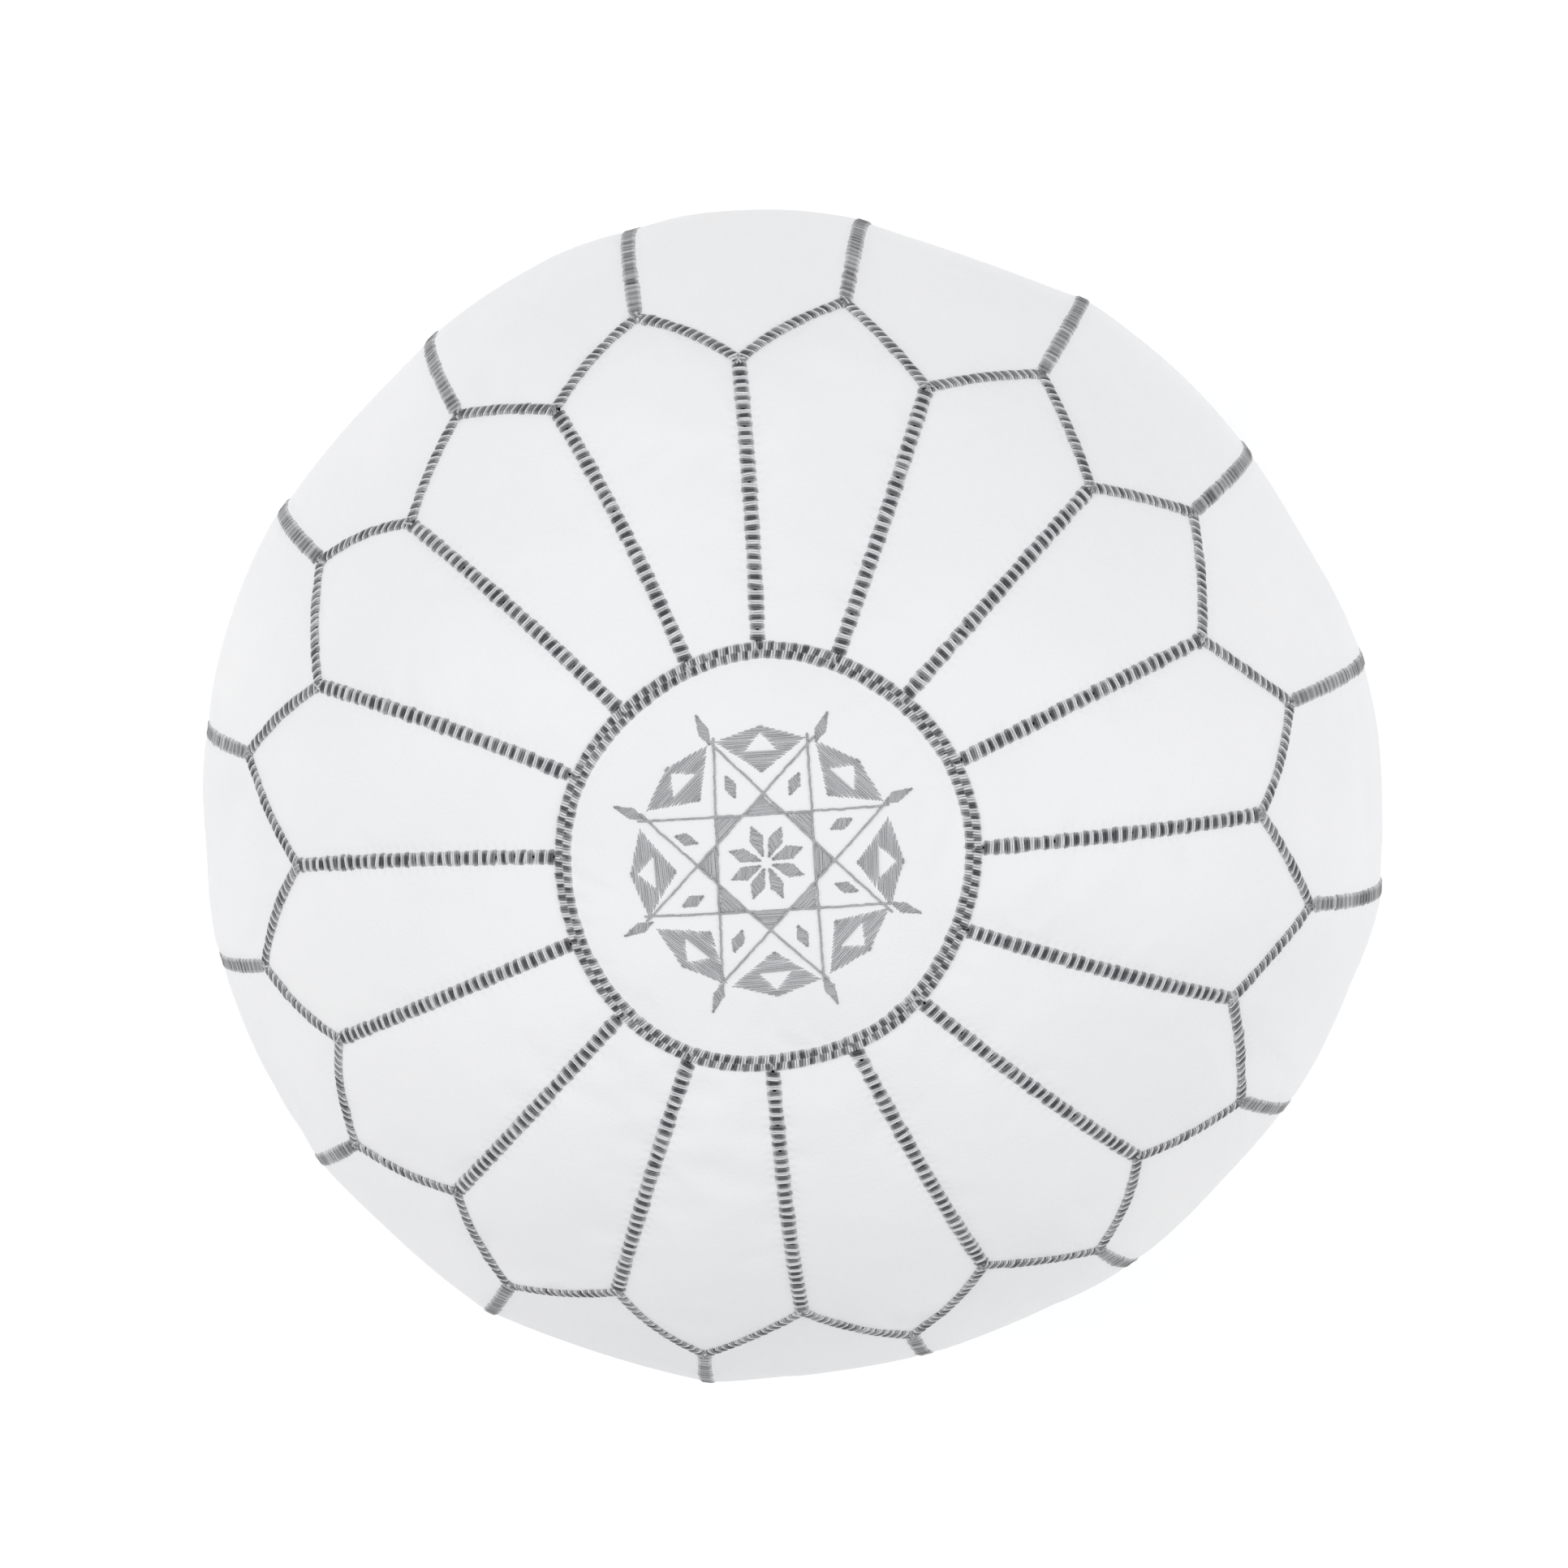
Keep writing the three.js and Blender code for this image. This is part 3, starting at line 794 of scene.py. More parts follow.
def floor_material():
    """A white sheet, lit softly from beneath like a light table."""
    r = Recipe("studio floor")
    base = r.blend((0.88, 0.88, 0.88, 1), (0.9, 0.9, 0.9, 1), r.noise(3, 2))
    return r.finish(
        Base_Color=base,
        Roughness=0.8,
        Specular_IOR_Level=0.1,
        Emission_Color=(1, 1, 1, 1),
        Emission_Strength=0.22,
    )


# ---------------------------------------------------------------- making and declaring pieces


def smooth_piece(name, mesh, material, body=BODY, replaces=()):
    """An object that shades smooth, wears one material and rides on a body."""
    obj = linked(name, mesh)
    mesh.materials.clear()
    mesh.materials.append(material)
    mesh.polygons.foreach_set("use_smooth", [True] * len(mesh.polygons))
    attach(obj, body)
    if replaces:
        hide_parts(*replaces)
    return obj


# ---------------------------------------------------------------- leather panels

SEAM_POINTS = 400
EDGE_ROLL = 1.7 * MM
EDGE_SINK = 0.6 * MM
EDGE_GAP = 0.18 * MM
TURNED_IN = 3.5 * MM
# How far from a corner of the seams the stitches' dimples start, and how long they take to grow.
DIMPLES_FROM, DIMPLES_GROWTH = 15.2 * MM, 8 * MM


class Seam:
    """A row of stitches: where it runs, how wide it is, and how far apart its stitches are."""

    def __init__(self, start, end, route, pitch, width):
        places = np.linspace(start, end, SEAM_POINTS)
        self.angles, self.runs = route(places)
        points = skin_point(self.angles, self.runs)
        steps = np.linalg.norm(np.diff(points, axis=0), axis=1)
        self.travel = np.concatenate([[0], np.cumsum(steps)])
        self.length = self.travel[-1]
        self.count = max(1, round(self.length / pitch))
        self.width = width

    def at(self, share):
        """Angle, run and unit directions along, across and out, at shares of the seam's length."""
        travel = np.asarray(share) * self.length
        angle = np.interp(travel, self.travel, self.angles)
        run = np.interp(travel, self.travel, self.runs)
        step = 0.8 * MM
        behind, ahead = (
            skin_point(
                np.interp(travel + side * step, self.travel, self.angles),
                np.interp(travel + side * step, self.travel, self.runs),
            )
            for side in (-1, 1)
        )
        out = skin_normal(angle, run)
        along = unit(ahead - behind)
        across = unit(np.cross(out, along))
        return skin_point(angle, run), along, across, out


def petal_seam(k):
    seams, s = plan(), stitches()
    route = lambda t: between(seams.ring, seams.zigzag, k + 0 * t, t)
    return Seam(0, 1, route, s.petal_pitch, s.petal_band)


def zigzag_seam(k, side):
    seams, s = plan(), stitches()
    return Seam(0, 0.5, lambda t: seams.zigzag(k + side * t), s.zigzag_pitch, s.zigzag_band)


def ring_seam():
    seams, s = plan(), stitches()
    return Seam(0, PETALS, seams.ring, s.ring_pitch, s.ring_band)


def side_seam(k):
    seams, s = plan(), stitches()
    route = lambda t: between(seams.zigzag, seams.foot, k + 0.5 + 0 * t, t)
    return Seam(0, 1, route, s.side_pitch, s.side_band)


def foot_seam():
    seams, s = plan(), stitches()
    return Seam(0, PETALS, seams.foot, s.zigzag_pitch, s.foot_band)


def tree_of(points):
    tree = KDTree(len(points))
    for i, point in enumerate(points):
        tree.insert(Vector(point), i)
    tree.balance()
    return tree


@lru_cache
def seam_tree():
    """Every seam as close-set points, the count of stitches at each, and where seams meet."""
    seams = [ring_seam(), foot_seam()]
    for k in range(PETALS):
        seams += [petal_seam(k), zigzag_seam(k, -1), zigzag_seam(k, 1), side_seam(k)]
    places, tallies = [], []
    for seam in seams:
        share = np.linspace(0, 1, max(8, int(seam.length / (0.6 * MM))))
        places.append(seam.at(share)[0])
        tallies.append(share * seam.count)
    corners = [seam.at([0, 1])[0] for seam in seams[2:]]
    return tree_of(np.concatenate(places)), np.concatenate(tallies), tree_of(np.concatenate(corners))


def mark_seams(mesh):
    """Tells a leather mesh how far each vertex is from a seam, its count of stitches there, and
    whether it is clear of the seams' corners."""
    tree, tallies, corners = seam_tree()
    rows = {"seam": [], "stitch": [], "clear": []}
    for vert in mesh.vertices:
        _, index, distance = tree.find(vert.co)
        rows["seam"].append(distance)
        rows["stitch"].append(tallies[index])
        clear = (corners.find(vert.co)[2] - DIMPLES_FROM) / DIMPLES_GROWTH
        rows["clear"].append(min(1.0, max(0.0, clear)))
    for key, values in rows.items():
        set_attribute(mesh, key, values)


def leather_panel(name, piece_number, node):
    """One cut of the stuffed skin, with its border rolled over and turned in along the seams."""
    bm = bmesh.new()
    bm.from_mesh(stuffed_skin())
    piece = bm.faces.layers.int["piece"]
    bmesh.ops.delete(bm, geom=[f for f in bm.faces if f[piece] != piece_number], context="FACES")
    bm.normal_update()
    bmesh.ops.inset_region(
        bm, faces=bm.faces, thickness=EDGE_ROLL, use_boundary=True, use_even_offset=True
    )
    border = [e for e in bm.edges if e.is_boundary]
    rim = {v for e in border for v in e.verts}
    bm.normal_update()
    moves = {}
    for vert in rim:
        inner = [e.other_vert(vert).co for e in vert.link_edges if e.other_vert(vert) not in rim]
        inwards = (sum(inner, Vector()) / len(inner) - vert.co).normalized() if inner else Vector()
        moves[vert] = inwards * EDGE_GAP - vert.normal * EDGE_SINK
    normals = {v: v.normal.copy() for v in rim}
    for vert, move in moves.items():
        vert.co += move
    turned = bmesh.ops.extrude_edge_only(bm, edges=border)["geom"]
    for vert in (g for g in turned if isinstance(g, bmesh.types.BMVert)):
        source = next(e.other_vert(vert) for e in vert.link_edges if e.other_vert(vert) in rim)
        vert.co -= normals[source] * TURNED_IN
    mesh = mesh_from(bm, name)
    mark_seams(mesh)
    obj = smooth_piece(name, mesh, leather_material(), replaces=(node,))
    walled(obj, shape().leather)
    subdivided(obj)


class POUF_OT_leather(bpy.types.Operator):
    """Cut the stuffed skin into the medallion, the petals and the side panels"""

    bl_idname = "pouf.leather"
    bl_label = "Leather panels"

    def execute(self, context):
        leather_panel("medallion_leather", MEDALLION, "medallion")
        for k in range(PETALS):
            tag = f"{k + 1:02d}"
            leather_panel(f"petal_leather_{tag}", 1 + k, f"petal_{tag}")
            leather_panel(f"side_leather_{tag}", 1 + PETALS + k, f"side_panel_{tag}")
        return {"FINISHED"}


# ---------------------------------------------------------------- stitches

STATIONS = 6


@lru_cache
def thread_template():
    """A short closed tube along X from -1 to 1, of radius 1, with a map along and round it."""
    bm = bmesh.new()
    turn = Matrix.Rotation(math.pi / 2, 4, "Y")
    bmesh.ops.create_cone(
        bm, cap_ends=True, segments=6, radius1=1, radius2=1, depth=2, matrix=turn
    )
    long_edges = [e for e in bm.edges if abs(e.verts[0].co.x - e.verts[1].co.x) > 1]
    bmesh.ops.subdivide_edges(bm, edges=long_edges, cuts=STATIONS - 2, use_grid_fill=True)
    uv = bm.loops.layers.uv.new("thread")
    for face in bm.faces:
        middle = face.calc_center_median()
        facing = math.atan2(middle.z, middle.y)
        for loop in face.loops:
            angle = math.atan2(loop.vert.co.z, loop.vert.co.y)
            angle = facing + (angle - facing + math.pi) % (2 * math.pi) - math.pi
            loop[uv].uv = (loop.vert.co.x, angle / (2 * math.pi))
    return mesh_from(bm, "thread template")


def repeated(template, count):
    """A mesh of so many copies of a template, and each copy's points as the template has them."""
    spacing = 10.0
    obj = linked("row", template.copy())
    offsets = {"use_relative_offset": False, "use_constant_offset": True}
    modified(obj, "Row", "ARRAY", count=count, constant_offset_displace=(spacing, 0, 0), **offsets)
    mesh = evaluated_mesh(obj)
    bpy.data.objects.remove(obj)
    points = mesh_points(mesh)
    copy = np.round(points[:, 0] / spacing).astype(int)
    points[:, 0] -= copy * spacing
    return mesh, points, copy


class Threads:
    """Threads to be laid: a path for each, its outward normal, and its tone from dark to pale."""

    def __init__(self, paths, normals, tones):
        self.paths, self.normals, self.tones = paths, normals, tones

    def __add__(self, other):
        pairs = ((self.paths, other.paths), (self.normals, other.normals), (self.tones, other.tones))
        return Threads(*(np.concatenate(pair) for pair in pairs))


def thread_piece(name, threads, radius, material, node, seed):
    """One mesh of many threads, each a closed tube that follows its path."""
    mesh, local, copy = repeated(thread_template(), len(threads.paths))
    mesh.name = name
    station = np.round((local[:, 0] + 1) / 2 * (STATIONS - 1)).astype(int)
    forward = unit(threads.paths[:, -1] - threads.paths[:, 0])
    sideways = unit(np.cross(threads.normals, forward))
    upward = np.cross(forward, sideways)
    chance = np.random.default_rng(seed)
    girth = (radius * chance.uniform(0.9, 1.1, len(threads.paths)))[copy][:, None]
    round_it = local[:, 1:2] * sideways[copy] + local[:, 2:3] * upward[copy]
    set_points(mesh, threads.paths[copy, station] + round_it * girth)
    set_attribute(mesh, "tone", threads.tones[copy])
    smooth_piece(name, mesh, material, replaces=(node,))


REACH = np.linspace(-1, 1, STATIONS)
ASIDE_WIDTH = 0.62


def stitch_row(
    seam, chance, tones, slant=0.0, start=0.0, end=1.0, aside=0.0, phase=0.0, crown=0.35 * MM
):
    """A row of stitches, each of a few threads side by side that cross the seam and dive in at
    both ends. The tones are a stitch's threads from dark (0) to pale (1). A row that lies aside of
    the seam, by a share of its width, is narrower."""
    strands = len(tones)
    count = seam.count * strands
    index = np.arange(count)
    share = (index + 0.5) / count
    kept = (share >= start) & (share <= end)
    index, share = index[kept] + round(phase * strands), share[kept]
    stitch, strand = index // strands, index % strands
    wobble = chance.normal(0, 1, (seam.count + 2, 3))[stitch]
    tremble = chance.normal(0, 1, (len(share), 3))
    share = (share + 0.05 * wobble[:, 0] / seam.count).clip(0, 1)
    middle, along, across, out = seam.at(share)
    half = seam.width / 2 * (1 + 0.05 * wobble[:, 1] + 0.03 * tremble[:, 1])
    if aside:
        half = half * ASIDE_WIDTH
    lean = slant + 0.06 * wobble[:, 2] + 0.02 * tremble[:, 2]
    across_by = half[:, None] * REACH + aside * seam.width
    along_by = across_by * lean[:, None]
    shift = across[:, None] * across_by[..., None]
    flat = middle[:, None] + shift + along[:, None] * along_by[..., None]
    normal = np.repeat(out[:, None], STATIONS, axis=1)
    tone = np.array(tones)[strand]
    thread = stitches().thread
    rise = thread * (0.8 - 2.3 * np.abs(REACH) ** 6) + crown * (1 - REACH**2)
    proud = (0.5 - tone) * 0.5 * thread
    paths = laid(flat, normal) + normal * (rise[None] + proud[:, None])[..., None]
    tone = (tone + 0.09 * wobble[:, 0] + 0.07 * tremble[:, 0]).clip(0, 1)
    return Threads(paths, out, tone)


def knot(angle, run, chance, count=8, size=3.5 * MM):
    """Threads that cross over each other where seams meet."""
    step = 0.01
    middle, out = skin_point(angle, run), skin_normal(angle, run)
    around = unit(skin_point(angle + step, run) - middle)
    down = np.cross(around, out)
    turn = (np.arange(count) * 2.4 + chance.normal(0, 0.2, count)) % math.pi
    way = np.cos(turn)[:, None] * around + np.sin(turn)[:, None] * down
    off = chance.normal(0, 0.5 * MM, (count, 1)) * np.cross(way, out)
    half = size * chance.uniform(0.8, 1.15, count)
    flat = (middle + off)[:, None] + way[:, None] * (half[:, None] * REACH)[..., None]
    normal = np.tile(out, (count, STATIONS, 1))
    lift = (0.55 + 0.12 * np.arange(count)) * MM
    rise = lift[:, None] - (lift[:, None] + 1.0 * MM) * np.abs(REACH) ** 5
    paths = laid(flat, normal) + normal * rise[..., None]
    return Threads(paths, normal[:, 0], chance.uniform(0.05, 0.75, count))


# The threads of one stitch, from dark (0) to pale (1).
LADDER = (0.02, 0.08, 0.85, 0.95)
ZIGZAG = (0.12, 0.3, 0.92)
RING = (0.05, 0.25, 0.95, 0.9)
SIDE = (0.2, 0.28, 0.52, 0.42)


class POUF_OT_petal_stitches(bpy.types.Operator):
    """Ladder stitches between the petals, round their ends and round the medallion"""

    bl_idname = "pouf.petal_stitches"
    bl_label = "Petal stitches"

    def execute(self, context):
        thread, material = stitches().thread, seam_thread_material()
        for k in range(PETALS):
            chance = np.random.default_rng(100 + k)
            seam = petal_seam(k)
            start, end = 4.6 * MM / seam.length, 1 - 2.2 * MM / seam.length
            row = stitch_row(seam, chance, LADDER, slant=0.05, start=start, end=end)
            for side in (-1, 1):
                edge = zigzag_seam(k, side)
                row += stitch_row(edge, chance, ZIGZAG, slant=0.4 * side, start=0.015, end=0.985)
            for place in (k, k + 0.5):
                row += knot(*plan().zigzag(np.float64(place)), chance)
            name, node = f"petal_stitches_{k + 1:02d}", "petal_seam_stitching"
            thread_piece(name, row, thread, material, node, 200 + k)
        chance = np.random.default_rng(99)
        seam = ring_seam()
        ring = stitch_row(seam, chance, RING, slant=0.12, aside=0.2)
        ring += stitch_row(seam, chance, RING, slant=0.12, aside=-0.2, phase=0.25)
        for k in range(PETALS):
            ring += knot(*plan().ring(np.float64(k)), chance, 4, 2.6 * MM)
        name, node = "ring_stitches", "medallion_ring_stitching"
        thread_piece(name, ring, thread, material, node, 99)
        return {"FINISHED"}


class POUF_OT_side_stitches(bpy.types.Operator):
    """Satin stitches down the side seams, and stitches round the foot"""

    bl_idname = "pouf.side_stitches"
    bl_label = "Side stitches"

    def execute(self, context):
        thread, material = stitches().thread, seam_thread_material()
        slot, node = "side_thread", "side_seam_stitching"
        for k in range(PETALS):
            chance = np.random.default_rng(300 + k)
            seam = side_seam(k)
            start = 3 * MM / seam.length
            reach = {"start": start, "end": 1 - start}
            row = stitch_row(seam, chance, SIDE, slant=0.08, crown=-0.3 * MM, **reach)
            thread_piece(f"side_stitches_{k + 1:02d}", row, thread, material, node, 400 + k)
        chance = np.random.default_rng(98)
        row = stitch_row(foot_seam(), chance, ZIGZAG, slant=0.3, crown=-0.6 * MM)
        thread_piece("foot_stitches", row, thread, material, node, 97)
        return {"FINISHED"}


# ---------------------------------------------------------------- embroidery


def star_point(radius, turn):
    return np.array([radius * math.cos(turn), radius * math.sin(turn)])


def hatched(loops, direction, pitch):
    """Parallel lines, a pitch apart, that fill the inside of closed loops, holes left open."""
    along = np.array([math.cos(direction), math.sin(direction)])
    across = np.array([-along[1], along[0]])
    edges = [(a, b) for loop in loops for a, b in zip(loop, np.roll(loop, -1, axis=0))]
    levels = [p @ across for loop in loops for p in loop]
    lines = []
    for level in np.arange(min(levels) + pitch / 2, max(levels), pitch):
        cuts = []
        for a, b in edges:
            da, db = a @ across - level, b @ across - level
            if (da < 0) != (db < 0):
                cuts.append(mix(a, b, da / (da - db)) @ along)
        cuts.sort()
        for start, end in zip(cuts[::2], cuts[1::2]):
            if end - start > pitch:
                lines.append((along * start + across * level, along * end + across * level))
    return lines


STAR_TURN = math.pi / 4
LINE_DISTANCE = 20.0 * MM
STAR_MIDDLE = np.array([2.6 * MM, 0.2 * MM])


def star_figures():
    """The filled figures of one eighth of the star: closed loops, and the lie of their thread."""
    half = STAR_TURN / 2
    tangent = math.pi / 2
    corner = LINE_DISTANCE / math.cos(half)
    crossing = LINE_DISTANCE / math.cos(STAR_TURN)
    fan = [
        star_point(37.0 * MM, 0),
        star_point(54 * MM, math.radians(-20.3)),
        star_point(56.5 * MM, 0),
        star_point(54 * MM, math.radians(20.3)),
    ]
    window = [(53.4 * MM, 0), (46 * MM, -6.6 * MM), (46 * MM, 6.6 * MM)]
    yield [np.array(fan), np.array(window)], tangent
    wedge = [star_point(corner, -half), star_point(crossing, 0), star_point(corner, half)]
    yield [np.array(wedge)], tangent

    def diamond(middle, long_half, short_half, waist=0.0):
        out = star_point(1, half)
        side = np.array([-out[1], out[0]])
        return np.array(
            [
                out * (middle - long_half),
                out * (middle + waist) + side * short_half,
                out * (middle + long_half),
                out * (middle + waist) - side * short_half,
            ]
        )

    slanted = half + 0.9
    yield [diamond(8.9 * MM, 7.3 * MM, 3.1 * MM, 1.3 * MM)], slanted
    yield [diamond(34.5 * MM, 5.6 * MM, 2.7 * MM)], slanted
    yield [diamond(60.4 * MM, 7.4 * MM, 2.5 * MM, -1.5 * MM)], slanted


def star_lines():
    """The outline of one eighth of the star, in back stitch, from a point to the third one on."""
    reach = 1.07 * LINE_DISTANCE / math.tan(STAR_TURN / 2)
    start, end = np.array([LINE_DISTANCE, -reach]), np.array([LINE_DISTANCE, reach])
    share = np.linspace(0, 1, 35)
    lap = 0.003
    pairs = zip(share, share[1:])
    return [(mix(start, end, a - lap), mix(start, end, b + lap)) for a, b in pairs]


class POUF_OT_embroidery(bpy.types.Operator):
    """The medallion's star, filled thread by thread, with its outline in back stitch"""

    bl_idname = "pouf.embroidery"
    bl_label = "Embroidery"

    def execute(self, context):
        chance = np.random.default_rng(8)
        pitch = stitches().fill_pitch
        fill, outline = [], []
        for k in range(8):
            turn = k * STAR_TURN
            for loops, lie in star_figures():
                lean, nudge = chance.normal(0, 0.025), chance.normal(0, 0.2 * MM, 2)
                fine = 1.0 if len(loops) > 1 else 0.75
                for a, b in hatched(loops, lie, fine * pitch):
                    fill.append((turned(a, turn + lean) + nudge, turned(b, turn + lean) + nudge))
            lean = chance.normal(0, 0.012)
            outline += [(turned(a, turn + lean), turned(b, turn + lean)) for a, b in star_lines()]
        for name, ends, girth, bury in (
            ("star_fill", fill, 0.46 * pitch, 0.3 * MM),
            ("star_outline", outline, 0.46 * MM, 0.3 * MM),
        ):
            ends = np.array(ends) + STAR_MIDDLE
            ends = ends + chance.normal(0, 0.12 * MM, ends.shape)
            threads = medallion_threads(ends, girth, bury, chance)
            material, node = star_thread_material(), "medallion_embroidery"
            thread_piece(name, threads, girth, material, node, 50)
        return {"FINISHED"}


def turned(point, angle):
    """A flat point turned anticlockwise about the middle."""
    x, y = point
    cosine, sine = math.cos(angle), math.sin(angle)
    return np.array([x * cosine - y * sine, x * sine + y * cosine])


def medallion_threads(ends, girth, bury, chance):
    """Threads between pairs of places on the medallion, given flat, with buried ends."""
    flat = mix(ends[:, None, 0], ends[:, None, 1], ((REACH + 1) / 2)[None, :, None])
    run = np.linalg.norm(flat, axis=-1)
    angle = np.arctan2(flat[..., 1], flat[..., 0])
    normal = skin_normal(angle, run)
    surface = laid(skin_point(angle, run), normal)
    rise = girth * 0.8 - (girth * 0.8 + bury) * np.abs(REACH) ** 8
    tones = chance.normal(0.5, 0.22, len(ends)).clip(0, 1)
    return Threads(surface + normal * rise[None, :, None], normal[:, STATIONS // 2], tones)


# ---------------------------------------------------------------- the base and its zip


def valley_height(x, y):
    """How far the base lifts clear of the floor beside and beyond the zip."""
    depth, slot, wide = 5.4 * MM, 7.5 * MM, 45 * MM
    level, fade = 152 * MM, 34 * MM

    def falling(t):
        t = np.clip(t, 0, 1)
        return 1 - t * t * (3 - 2 * t)

    return depth * falling((np.abs(y) - slot) / (wide - slot)) * falling((np.abs(x) - level) / fade)


def base_half(name, side, node):
    """Half the base, its straight edge turned in along the zip and the short seams beyond it."""
    bm = bmesh.new()
    reach = shape().base_radius + 0.8 * MM
    slot_length, slot_width, seam_gap = 138 * MM, 7.5 * MM, 0.25 * MM

    def on_base(x, y):
        across = (y + 1) / 2
        bend = (reach - 1.2 * MM) * np.sin(x * np.pi / 2)
        edge = np.sqrt(np.maximum(reach**2 - bend**2, 0))
        opening = 1 / (1 + np.exp((np.abs(bend) - slot_length) / (1.2 * MM)))
        inner = np.minimum(seam_gap + (slot_width - seam_gap) * opening, edge * 0.98)
        deep = side * mix(inner, edge, across**1.3)
        return np.stack([bend, deep, valley_height(bend, deep)], -1)

    grid_patch(bm, 150, 44, on_base)
    bmesh.ops.remove_doubles(bm, verts=bm.verts, dist=0.02 * MM)
    bmesh.ops.recalc_face_normals(bm, faces=bm.faces)
    if sum(f.normal.z for f in bm.faces) > 0:
        bmesh.ops.reverse_faces(bm, faces=bm.faces)
    mesh = mesh_from(bm, name)
    far_from_seams = 20 * MM
    set_attribute(mesh, "seam", [far_from_seams] * len(mesh.vertices))
    obj = smooth_piece(name, mesh, leather_material(), replaces=(node,))
    walled(obj, 1.6 * MM)
    rounded(obj, 0.5 * MM, 2)


class POUF_OT_base(bpy.types.Operator):
    """The two halves of the base"""

    bl_idname = "pouf.base"
    bl_label = "Base"

    def execute(self, context):
        base_half("base_leather_left", 1, "base_half_left")
        base_half("base_leather_right", -1, "base_half_right")
        return {"FINISHED"}


def metal_copy(name, node, body, width):
    """A CAD piece again in metal, with its vertices merged and its edges rounded."""
    bm = bmesh.new()
    bm.from_mesh(bpy.data.objects[node].data)
    bmesh.ops.remove_doubles(bm, verts=bm.verts, dist=0.01 * MM)
    bmesh.ops.dissolve_limit(bm, angle_limit=math.radians(1), verts=bm.verts, edges=bm.edges)
    mesh = mesh_from(bm, name)
    obj = smooth_piece(name, mesh, metal_material(), body=body, replaces=(node,))
    rounded(obj, width, 3, 35)
    modified(obj, "Flat faces", "WEIGHTED_NORMAL", keep_sharp=True)


def tooth_template():
    """One moulded tooth, its head towards -Y, within a box of 1 by 1 by 1."""
    bm = bmesh.new()
    bmesh.ops.create_cube(bm, size=1)
    long_edges = [e for e in bm.edges if abs(e.verts[0].co.y - e.verts[1].co.y) > 0.5]
    bmesh.ops.subdivide_edges(bm, edges=long_edges, cuts=2)
    for vert in bm.verts:
        if abs(vert.co.y) < 0.3:
            vert.co.x *= 0.62
        if vert.co.y < -0.4:
            vert.co.x *= 0.9
    bmesh.ops.bevel(
        bm, geom=bm.edges[:], offset=0.08, segments=1, profile=0.5, affect="EDGES", material=-1
    )
    return mesh_from(bm, "tooth")


class POUF_OT_zip(bpy.types.Operator):
    """The zip: tapes, teeth, stops, slider, pull and its machine stitching"""

    bl_idname = "pouf.zip"
    bl_label = "Zip"

    def execute(self, context):
        for hand, side in (("left", 1), ("right", -1)):
            self.teeth(hand, side)
            self.stitching(hand, side)
            tape = bpy.data.objects[f"zip_tape_{hand}"]
            tape.data.materials.clear()
            tape.data.materials.append(tape_material())
            metal_copy(f"top_stop_{hand}", f"zip_top_stop_{hand}", BODY, 0.35 * MM)
        metal_copy("bottom_stop", "zip_bottom_stop", BODY, 0.4 * MM)
        metal_copy("slider_body", "zip_slider", SLIDER, 0.16 * MM)
        metal_copy("pull_tab", "zip_pull", PULL, 0.2 * MM)
        return {"FINISHED"}

    @staticmethod
    def teeth(hand, side):
        node = f"zip_teeth_{hand}"
        start, end = low(node), high(node)
        pitch = 2.9 * MM
        count = int((end[0] - start[0] - pitch) / pitch)
        mesh, local, copy = repeated(tooth_template(), count)
        offset = 0 if side > 0 else pitch / 2
        x = start[0] + 0.6 * pitch + offset + copy * pitch + local[:, 0] * 1.9 * MM
        depth = end[1] - start[1]
        y = (start[1] + end[1]) / 2 + side * local[:, 1] * depth
        z = (start[2] + end[2]) / 2 + local[:, 2] * (end[2] - start[2])
        set_points(mesh, np.stack([x, y, z], -1))
        if side < 0:
            mesh.flip_normals()
        name = f"moulded_teeth_{hand}"
        smooth_piece(name, mesh, teeth_material(), replaces=(node,))

    @staticmethod
    def stitching(hand, side):
        node = f"zip_stitch_{hand}"
        start, end = low(node), high(node)
        pitch = 3.2 * MM
        count = int((end[0] - start[0]) / pitch)
        x = start[0] + pitch * (np.arange(count)[:, None] + 0.5) + REACH * 0.42 * pitch
        y = np.full_like(x, side * 11 * MM)
        z = valley_height(x, y) - 0.3 * MM + 0.7 * MM * np.abs(REACH) ** 8
        normals = np.tile([0.0, 0.0, -1.0], (count, 1))
        threads = Threads(np.stack([x, y, z], -1), normals, np.full(count, 0.85))
        material = seam_thread_material()
        thread_piece(f"machine_stitch_{hand}", threads, 0.3 * MM, material, node, 60)


# ---------------------------------------------------------------- inside


def filling(name, inset, lumps, node, material):
    """A stuffed body a set distance inside the skin, and clear of the zip."""
    bm = bmesh.new()
    bmesh.ops.create_uvsphere(bm, u_segments=96, v_segments=64, radius=1)
    at = np.array([v.co for v in bm.verts])
    angle = np.arctan2(at[:, 1], at[:, 0])
    run = np.arccos(at[:, 2].clip(-1, 1)) / math.pi * profile().foot
    count = 5
    dent_waves = np.random.default_rng(3).normal(0, 9, (count, 3))
    dents = sum(np.sin(at @ wave + 2 * i) for i, wave in enumerate(dent_waves))
    points = skin_point(angle, run.clip(0, profile().foot), -inset - lumps * (1 + dents / count))
    lowest = high("zip_slider")[2] + 1.2 * MM + inset / 4
    points[:, 2] = np.maximum(points[:, 2], lowest)
    pole = np.abs(at[:, 2] + 1) < 1e-6
    points[pole] = (0, 0, lowest)
    for vert, co in zip(bm.verts, points):
        vert.co = co
    obj = smooth_piece(name, mesh_from(bm, name), material, replaces=(node,))
    return obj


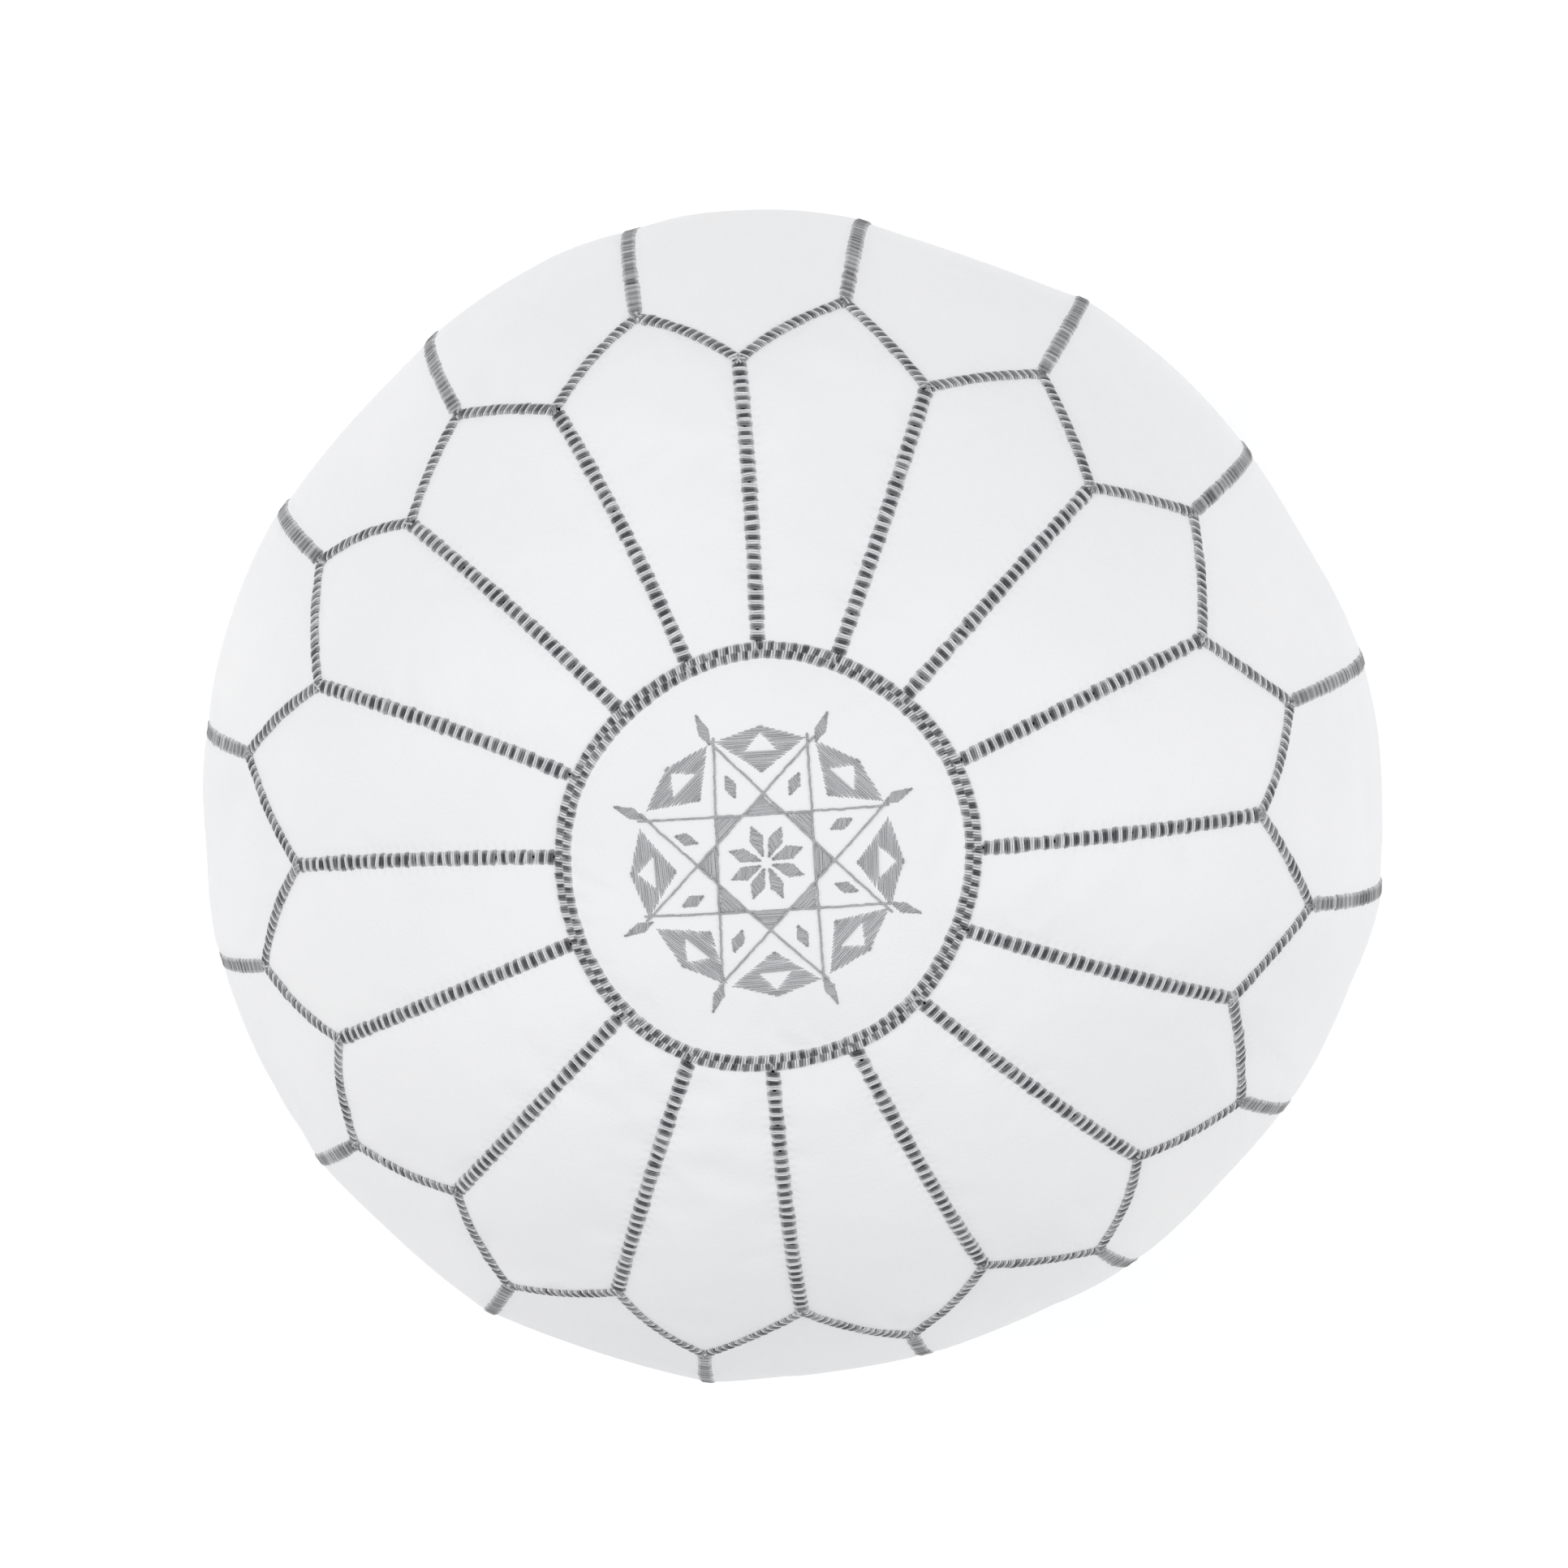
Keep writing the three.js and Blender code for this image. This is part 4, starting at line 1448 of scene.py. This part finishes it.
class POUF_OT_filling(bpy.types.Operator):
    """The calico bag and the cotton stuffing"""

    bl_idname = "pouf.filling"
    bl_label = "Bag and stuffing"

    def execute(self, context):
        bag = filling("calico_bag", 8 * MM, 0.5 * MM, "inner_bag", calico_material())
        walled(bag, 0.7 * MM)
        filling("cotton_stuffing", 11 * MM, 1.5 * MM, "stuffing", cotton_material())
        return {"FINISHED"}


# ---------------------------------------------------------------- the studio


def aimed(obj, eye, target, up):
    """Turns a camera or a light at eye towards a target, with a floor bearing up."""
    back = (eye - target).normalized()
    right = up.cross(back).normalized()
    obj.matrix_world = Matrix(
        [
            [right.x, back.cross(right).x, back.x, eye.x],
            [right.y, back.cross(right).y, back.y, eye.y],
            [right.z, back.cross(right).z, back.z, eye.z],
            [0, 0, 0, 1],
        ]
    )


class POUF_OT_studio(bpy.types.Operator):
    """A pale floor, soft light and the camera"""

    bl_idname = "pouf.studio"
    bl_label = "Studio"

    def execute(self, context):
        self.floor()
        self.lights(context.scene)
        self.camera(context.scene)
        return {"FINISHED"}

    @staticmethod
    def floor():
        bm = bmesh.new()
        bmesh.ops.create_grid(bm, x_segments=8, y_segments=8, size=30)
        mesh = mesh_from(bm, "floor")
        mesh.materials.append(floor_material())
        linked("floor", mesh)

    @staticmethod
    def lights(scene):
        """A world that grows brighter from the horizon up, and a soft lamp at either side."""
        world = bpy.data.worlds.new("soft light")
        world.use_nodes = True
        nodes, links = world.node_tree.nodes, world.node_tree.links
        height = nodes.new("ShaderNodeSeparateXYZ")
        links.new(nodes.new("ShaderNodeTexCoord").outputs["Generated"], height.inputs[0])
        glow = nodes.new("ShaderNodeMapRange")
        links.new(height.outputs["Z"], glow.inputs["Value"])
        for key, value in (("From Max", 0.5), ("To Min", 0.22), ("To Max", 0.87)):
            glow.inputs[key].default_value = value
        background = nodes["Background"]
        background.inputs["Color"].default_value = (0.985, 0.992, 1, 1)
        links.new(glow.outputs["Result"], background.inputs["Strength"])
        scene.world = world
        middle = Vector((0, 0, 0.15))
        for name, eye, power in (
            ("left softbox", Vector((-1.5, 0.6, 1.6)), 8.3),
            ("right softbox", Vector((1.8, 0.15, 1.5)), 7.8),
        ):
            lamp = bpy.data.lights.new(name, "AREA")
            lamp.size = 1.2
            lamp.energy = power
            holder = bpy.data.objects.new(name, lamp)
            scene.collection.objects.link(holder)
            aimed(holder, eye, middle, Vector((0, 1, 0)))
        scene.view_settings.view_transform = "Standard"

    @staticmethod
    def camera(scene):
        s = scene.pouf_studio
        lens = bpy.data.cameras.new("camera")
        lens.lens = s.lens
        lens.sensor_width = 36
        lens.shift_y = 0.0135
        lens.clip_end = 50
        holder = bpy.data.objects.new("camera", lens)
        scene.collection.objects.link(holder)
        target = Vector((0, 0, 0.17))
        lean = Vector((math.cos(s.azimuth), math.sin(s.azimuth), 0)) * math.sin(s.tilt)
        eye = target + s.distance * (lean + Vector((0, 0, math.cos(s.tilt))))
        aimed(holder, eye, target, Vector((-math.sin(s.roll), math.cos(s.roll), 0)))
        scene.camera = holder


class POUF_PT_panel(bpy.types.Panel):
    """Lists the pouf's pieces, sizes and colours"""

    bl_label = "Pouf"
    bl_idname = "POUF_PT_panel"
    bl_space_type = "VIEW_3D"
    bl_region_type = "UI"
    bl_category = "Pouf"

    def draw(self, context):
        for operator in STEPS:
            self.layout.operator(operator.bl_idname)
        for name in GROUPS:
            group = getattr(context.scene, name)
            box = self.layout.box()
            for key in group.bl_rna.properties.keys():
                if key not in ("rna_type", "name"):
                    box.prop(group, key)


STEPS = (
    POUF_OT_leather,
    POUF_OT_petal_stitches,
    POUF_OT_side_stitches,
    POUF_OT_embroidery,
    POUF_OT_base,
    POUF_OT_zip,
    POUF_OT_filling,
    POUF_OT_studio,
)
GROUPS = {
    "pouf_shape": PoufShape,
    "pouf_stitches": PoufStitches,
    "pouf_finish": PoufFinish,
    "pouf_studio": PoufStudio,
}


def register():
    for group in GROUPS.values():
        bpy.utils.register_class(group)
    for key, group in GROUPS.items():
        setattr(bpy.types.Scene, key, bpy.props.PointerProperty(type=group))
    for cls in (*STEPS, POUF_PT_panel):
        bpy.utils.register_class(cls)


def unregister():
    for cls in (*STEPS, POUF_PT_panel):
        bpy.utils.unregister_class(cls)
    for key, group in GROUPS.items():
        delattr(bpy.types.Scene, key)
        bpy.utils.unregister_class(group)


def main():
    register()
    for operator in STEPS:
        group, name = operator.bl_idname.split(".")
        getattr(getattr(bpy.ops, group), name)()


if __name__ == "__main__":
    main()
